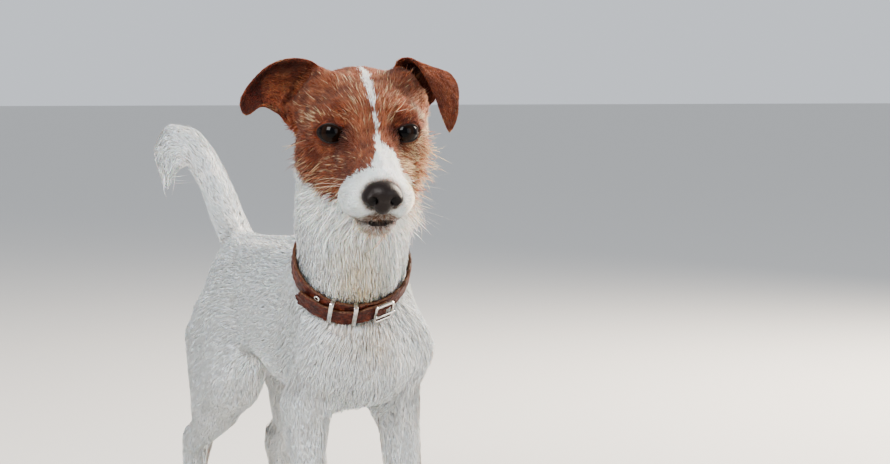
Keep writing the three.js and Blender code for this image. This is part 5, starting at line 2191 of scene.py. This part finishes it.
@dataclass
class Whiskers:
    """The long stiff hairs of the muzzle and brows, thin round rods that taper and droop."""

    tree: BVHTree  # of the skin
    sides: int = 4
    steps: int = 7
    seed: int = 5
    rows: int = 3
    in_row: int = 4
    on_brow: int = 3
    every: int = 5  # one in so many of the lips' is dark
    thickness: float = 0.085
    brow_length: float = 17
    brow_thickness: float = 0.15

    def build(self, pale: Material, dark: Material) -> list[Object]:
        """Builds the pale and the dark whiskers.

        Args:
            pale: The material of the pale ones.
            dark: The material of the dark ones.

        Returns:
            Both pieces.
        """
        rng = np.random.default_rng(self.seed)
        made = []
        for name, material in (("whiskers", pale), ("whiskers_dark", dark)):
            rods = []
            for side in (LEFT, RIGHT):
                for number in range(self.rows * self.in_row):
                    is_dark = number % self.every == self.every - 2
                    jitter = rng.normal(size=6)
                    if is_dark == (material is dark):
                        rods.append(self._on_lip(side, number, jitter, rng.random()))
                for k in range(self.on_brow):
                    jitter = rng.normal(size=3)
                    if (k == 1) == (material is dark):
                        root = np.array([side * (19 + 6 * k), -12 + 2 * k, 19])
                        way = unit(np.array([side * 0.55, -0.75, 0.75]) + 0.1 * jitter)
                        rods.append(self._rod(root, way, self.brow_length, self.brow_thickness, 2))
            points, faces = stacked(rods)
            piece = new_object(name, HEAD.world(points), faces)
            finish_piece(piece, material, "white_coat")
            made.append(piece)
        return made

    def _on_lip(self, side: float, number: int, jitter: Array, longer: float) -> Pair:
        """Makes one whisker of the lip.

        Args:
            side: Which side it is on.
            number: Its number, row by row from the top and front.
            jitter: How it differs from its neighbours.
            longer: How much longer than the shortest it is, from 0 to 1.

        Returns:
            Its points and faces.
        """
        row, k = divmod(number, self.in_row)
        root = side * (11 + 1.8 * k), -60 + 6.0 * k + 2 * jitter[0], -25 - 5.5 * row + 1.5 * jitter[1]
        way = side, -0.2 + 0.17 * k + 0.2 * jitter[2], 0.05 - 0.22 * row + 0.16 * jitter[3]
        length = 22 + 16 * longer + 2.2 * k
        return self._rod(np.array(root), unit(np.array(way)), length, self.thickness, 6 + 4 * jitter[4])

    def _rod(self, root: Array, way: Array, length: float, radius: float, droop: float) -> Pair:
        """Makes one whisker, rooted in the skin that is nearest.

        Args:
            root: Its root, in the head's axes.
            way: Its first direction.
            length: Its length.
            radius: Its radius at the root.
            droop: How far its tip sinks.

        Returns:
            Its points and faces.
        """
        foot = np.array(self.tree.find_nearest(HEAD.world(root))[0])
        t = np.linspace(0, 1, self.steps + 1)[:, None]
        line = HEAD.local(foot) - way * 0.6 + way * (length * t) + np.array([0, 0.35, -1]) * droop * t**2
        side = unit(np.cross(way, (0.1, 0.2, 1)))
        other = np.cross(way, side)
        turns = np.arange(self.sides) * 2 * math.pi / self.sides
        ring = np.cos(turns)[:, None] * side + np.sin(turns)[:, None] * other
        points = (line[:, None] + ring[None] * (radius * (1 - 0.94 * t))[:, :, None]).reshape(-1, 3)
        last = self.steps * self.sides
        caps = [(0, 2, 1), (0, 3, 2), (last, last + 1, last + 2), (last, last + 2, last + 3)]
        return points, np.vstack([tube_faces(self.steps + 1, self.sides), caps])


# ---------------- claws
@dataclass
class Claw:
    """One claw: a blunt curved horn that leaves the end of its toe."""

    node: str  # the CAD node that it follows
    sides: int = 12
    steps: int = 10
    slimness: float = 0.82

    def build(self, material: Material) -> Object:
        """Builds the claw.

        Args:
            material: Its material.

        Returns:
            The claw.
        """
        low, high = box_of(self.node)
        x = (low[0] + high[0]) / 2
        start = np.array([x, high[1] + 2.5, high[2] - 1.2])
        end = np.array([x, low[1] + 0.4, max(low[2] + 0.5, 0.8)])
        bend = np.array([x, (low[1] * 0.6 + high[1] * 0.4), high[2] + 0.6])
        t = np.linspace(0, 1, self.steps)[:, None]
        line = start * (1 - t) ** 2 + bend * 2 * t * (1 - t) + end * t**2
        width = (high[0] - low[0]) / 2 * self.slimness
        reach = width * np.sqrt(np.clip(1 - (t * 0.985) ** 2.4, 0, 1))
        turns = np.arange(self.sides) * 2 * math.pi / self.sides
        ring = np.stack([np.cos(turns) * 0.85, np.zeros(self.sides), np.sin(turns) * 1.1], axis=1)
        points = (line[:, None] + ring[None] * reach[:, :, None]).reshape(-1, 3)
        points = np.vstack([points, line[0], line[-1] - (0, 0.2, 0.1)])
        points[:, 2] = np.maximum(points[:, 2], 0.15)
        last, back, tip = (self.steps - 1) * self.sides, len(points) - 2, len(points) - 1
        k = np.arange(self.sides)
        after = np.roll(k, -1)
        base = np.stack([np.full(self.sides, back), after, k], axis=1)
        point = np.stack([np.full(self.sides, tip), last + k, last + after], axis=1)
        faces = np.vstack([tube_faces(self.steps, self.sides), base, point])
        made = new_object(f"horn_{self.node}", points, faces)
        finish_piece(made, material, "claw_horn", self.node)
        return made


# ---------------- collar
@dataclass
class Strap:
    """A length of worn leather bent round the neck."""

    name: str
    node: str  # the CAD node that it takes the place of
    angles: Array  # round the neck, in degrees
    closed: bool = False  # whether it is a whole ring
    thickness: float = 2.8
    gap: float = 0.35  # between the loose end and the band under it
    tip: float = -60  # the angle at which the loose end ends
    edge_points: int = 3
    face_points: tuple[int, int] = (15, 5)  # across the outer and the inner face

    def section(self) -> Pair:
        """Draws the strap's section.

        Returns:
            Its heights over the neck and up it, and where it is a cut edge.
        """
        half, thick = COLLAR_HALF, self.thickness
        across = half - 0.5
        outside, within = self.face_points
        outer = [(thick - 0.25 * abs(y / half) ** 4, y) for y in np.linspace(-across, across, outside)]
        top = [(thick * f, half - 0.18 * (f - 0.5) ** 2) for f in (0.8, 0.5, 0.2)]
        inner = [(0.0, y) for y in np.linspace(across, -across, within)]
        bottom = [(thick * f, -half + 0.18 * (f - 0.5) ** 2) for f in (0.2, 0.5, 0.8)]
        cut = [0.0] * outside + [1.0] * self.edge_points + [0.0] * within + [1.0] * self.edge_points
        return np.array(outer + top + inner + bottom), np.array(cut)

    def build(self, material: Material) -> Object:
        """Builds the strap.

        Args:
            material: Its material.

        Returns:
            The strap.
        """
        section, edge = self.section()
        points = self._bent(section)
        rows, n = points.shape[:2]
        faces = tube_faces(rows, n, self.closed)
        points = points.reshape(-1, 3)
        if not self.closed:
            for first, turn in ((0, 1), ((rows - 1) * n, -1)):
                ring = np.arange(n)[::turn] + first
                hub = np.full(n, len(points))
                points = np.vstack([points, points[ring].mean(0)])
                faces = np.vstack([faces, np.stack([hub, np.roll(ring, -1), ring], axis=1)])
        made = new_object(self.name, COLLAR.world(points), faces)
        shell = bmesh.new()
        shell.from_mesh(made.data)
        bmesh.ops.recalc_face_normals(shell, faces=shell.faces)
        shell.to_mesh(made.data)
        shell.free()
        store(made.data, "cut_edge", np.resize(edge, len(points)))
        finish_piece(made, material, "collar_leather", self.node)
        return made

    def _bent(self, section: Array) -> Array:
        """Bends the strap round the neck and wears it.

        Args:
            section: Its section.

        Returns:
            Its points in the collar's axes, by angle and then round the section.
        """
        angle, row = np.meshgrid(self.angles, np.arange(len(section)), indexing="ij")
        out, up = section[row][..., 0], section[row][..., 1]
        drop, lift, base = 0.0, 0.0, COLLAR_RADIUS
        if not self.closed:
            drop = COLLAR_SAG * (1 - smoothstep(angle, *SAG_ANGLES))
            lift = 1.6 * (1 - smoothstep(angle, self.tip, self.tip + 22))
            base = COLLAR_RADIUS + self.thickness + self.gap
            ragged = 1.7 * np.sin(up * 1.9) + 1.3 * np.sin(up * 3.7 + 1) + 0.9 * np.abs(up)
            angle = angle + ragged * (1 - smoothstep(angle, self.tip, self.tip + 5))
        radians = np.radians(angle)
        around = np.stack([np.sin(radians), np.zeros_like(radians), np.cos(radians)], axis=-1)
        flat = np.stack([radians.ravel() * 44, up.ravel(), np.zeros(up.size)], axis=1)
        wear = 0.16 * Waves(5, 31)(flat) + 0.1 * Waves(2.1, 32)(flat)
        ripple = (0.35 * Waves(9, 33)(flat * (1, 0, 0))).reshape(up.shape) * np.sign(up)
        radius = base + out + lift + np.where(out > 0.3, wear.reshape(out.shape), 0)
        points = around * radius[..., None]
        points[..., 1] = up + ripple * (np.abs(up) > 6) - drop
        return points


@dataclass
class Fitting:
    """A steel part of the collar: the CAD's shape with its edges rounded."""

    node: str
    bevel: float = 0.0  # how far its edges are rounded
    sharp: float = math.radians(50)  # the least angle of an edge that is rounded

    def build(self, material: Material) -> Object:
        """Builds the fitting.

        Args:
            material: Its material.

        Returns:
            The fitting.
        """
        shell = merged_shell(self.node)
        bmesh.ops.dissolve_limit(shell, angle_limit=math.radians(3), verts=shell.verts, edges=shell.edges)
        if self.bevel:
            edges = [e for e in shell.edges if len(e.link_faces) == 2 and e.calc_face_angle(0) > self.sharp]
            rounded = {"offset": self.bevel * MM, "segments": 3, "profile": 0.5, "affect": "EDGES"}
            bmesh.ops.bevel(shell, geom=edges, material=-1, **rounded)
        bmesh.ops.triangulate(shell, faces=shell.faces)
        made = object_of(shell, f"steel_{self.node}")
        made.data.set_sharp_from_angle(angle=math.radians(45))
        finish_piece(made, material, "steel", self.node)
        return made


# ---------------- studio
@dataclass
class Studio:
    """The floor, the soft lights and the camera, in metres."""

    floor_size: float = 60.0
    aim: Place = (0, 0, 0.25)  # where the lights point
    eye_to_camera: Place = (-0.7508, -1.414, 0.029)
    look: tuple[float, float] = (0.5, 0.866)
    pitch: float = math.radians(-3.66)
    lens: float = 87.98  # millimetres, on a sensor 36 mm wide

    def floor(self) -> None:
        """Lays a plain pale floor."""
        shell = bmesh.new()
        bmesh.ops.create_grid(shell, x_segments=1, y_segments=1, size=self.floor_size)
        floor = object_of(shell, "floor", smooth=False)
        finish = Finish("Floor", Base_Color=tint(0.62, 0.61, 0.59), Roughness=0.8)
        floor.data.materials.append(finish.material)

    def light(self, name: str, place: tuple, size: float, power: float, color: tuple) -> None:
        """Adds a soft square light that faces the dog.

        Args:
            name: Its name.
            place: Its place.
            size: The length of its side.
            power: Its power in watts.
            color: Its colour.
        """
        data = bpy.data.lights.new(name, "AREA")
        data.size, data.energy, data.color = size, power, color
        lamp = linked(bpy.data.objects.new(name, data))
        lamp.location = place
        lamp.rotation_mode = "QUATERNION"
        lamp.rotation_quaternion = (Vector(self.aim) - Vector(place)).to_track_quat("-Z", "Y")

    def build(self) -> None:
        """Sets up the floor, the lights, the world and the camera."""
        self.floor()
        self.light("key", (-1.5, -1.1, 1.7), 1.2, 68, (1.0, 0.98, 0.96))
        self.light("fill", (0.9, -2.3, 0.9), 1.6, 20, (0.95, 0.97, 1.0))
        self.light("rim", (1.8, 0.25, 1.3), 1.0, 105, (1.0, 0.88, 0.74))
        scene = bpy.context.scene
        scene.world = bpy.data.worlds.new("soft light")
        scene.world.use_nodes = True
        sky = scene.world.node_tree.nodes["Background"]
        sky.inputs["Color"].default_value = tint(0.82, 0.86, 0.92)
        sky.inputs["Strength"].default_value = 0.75
        scene.view_settings.look = "AgX - Medium High Contrast"
        data = bpy.data.cameras.new("camera")
        data.lens, data.sensor_width = self.lens, 36.0
        camera = linked(bpy.data.objects.new("camera", data))
        camera.location = Vector(HEAD.origin * MM + np.array(self.eye_to_camera))
        flat = math.cos(self.pitch)
        look = Vector((self.look[0] * flat, self.look[1] * flat, math.sin(self.pitch)))
        camera.rotation_mode = "QUATERNION"
        camera.rotation_quaternion = look.to_track_quat("-Z", "Y")
        scene.camera = camera


# ---------------- the dog
def main() -> None:
    """Builds the dog and its studio."""
    pelt = Pelt()
    group = pelt.group()
    leather, steel, horn = LeatherFinish().make(), SteelFinish().make(), HornFinish().make()
    eye_gloss = EyeFinish().make()
    ears, marks, zones = EarMap(), Marks(), CoatMap()
    skin = Skin(zones, ears, marks)
    finish_piece(skin.build(), SkinFinish(pelt).make(group), "white_coat", *FLESH)
    for eye in EYES:
        Eyeball(eye).build(eye_gloss)
    Nose().build(NoseFinish().make())
    coat = Coat(skin, zones, marks)
    pale = Finish("Whisker", Base_Color=tint(0.80, 0.74, 0.64), Roughness=0.4)
    dark = Finish("Dark whisker", Base_Color=tint(0.035, 0.025, 0.02), Roughness=0.4)
    Whiskers(coat.tree).build(pale.material, dark.material)
    for node in sorted(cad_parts):
        if node.startswith("claw_"):
            Claw(node).build(horn)
    Strap("leather_band", "collar_band", np.arange(0, 360, 2.0), closed=True).build(leather)
    Strap("leather_end", "collar_loose_end", np.linspace(30, -60, 61)).build(leather)
    for fitting in (
        Fitting("collar_keeper_1", 0.4),
        Fitting("collar_keeper_2", 0.4),
        Fitting("collar_buckle", 0.7),
        Fitting("collar_prong"),
        Fitting("collar_eyelet"),
    ):
        fitting.build(steel)
    coat.build(CoatFinish().make(group))
    Studio().build()


if __name__ == "__main__":
    main()
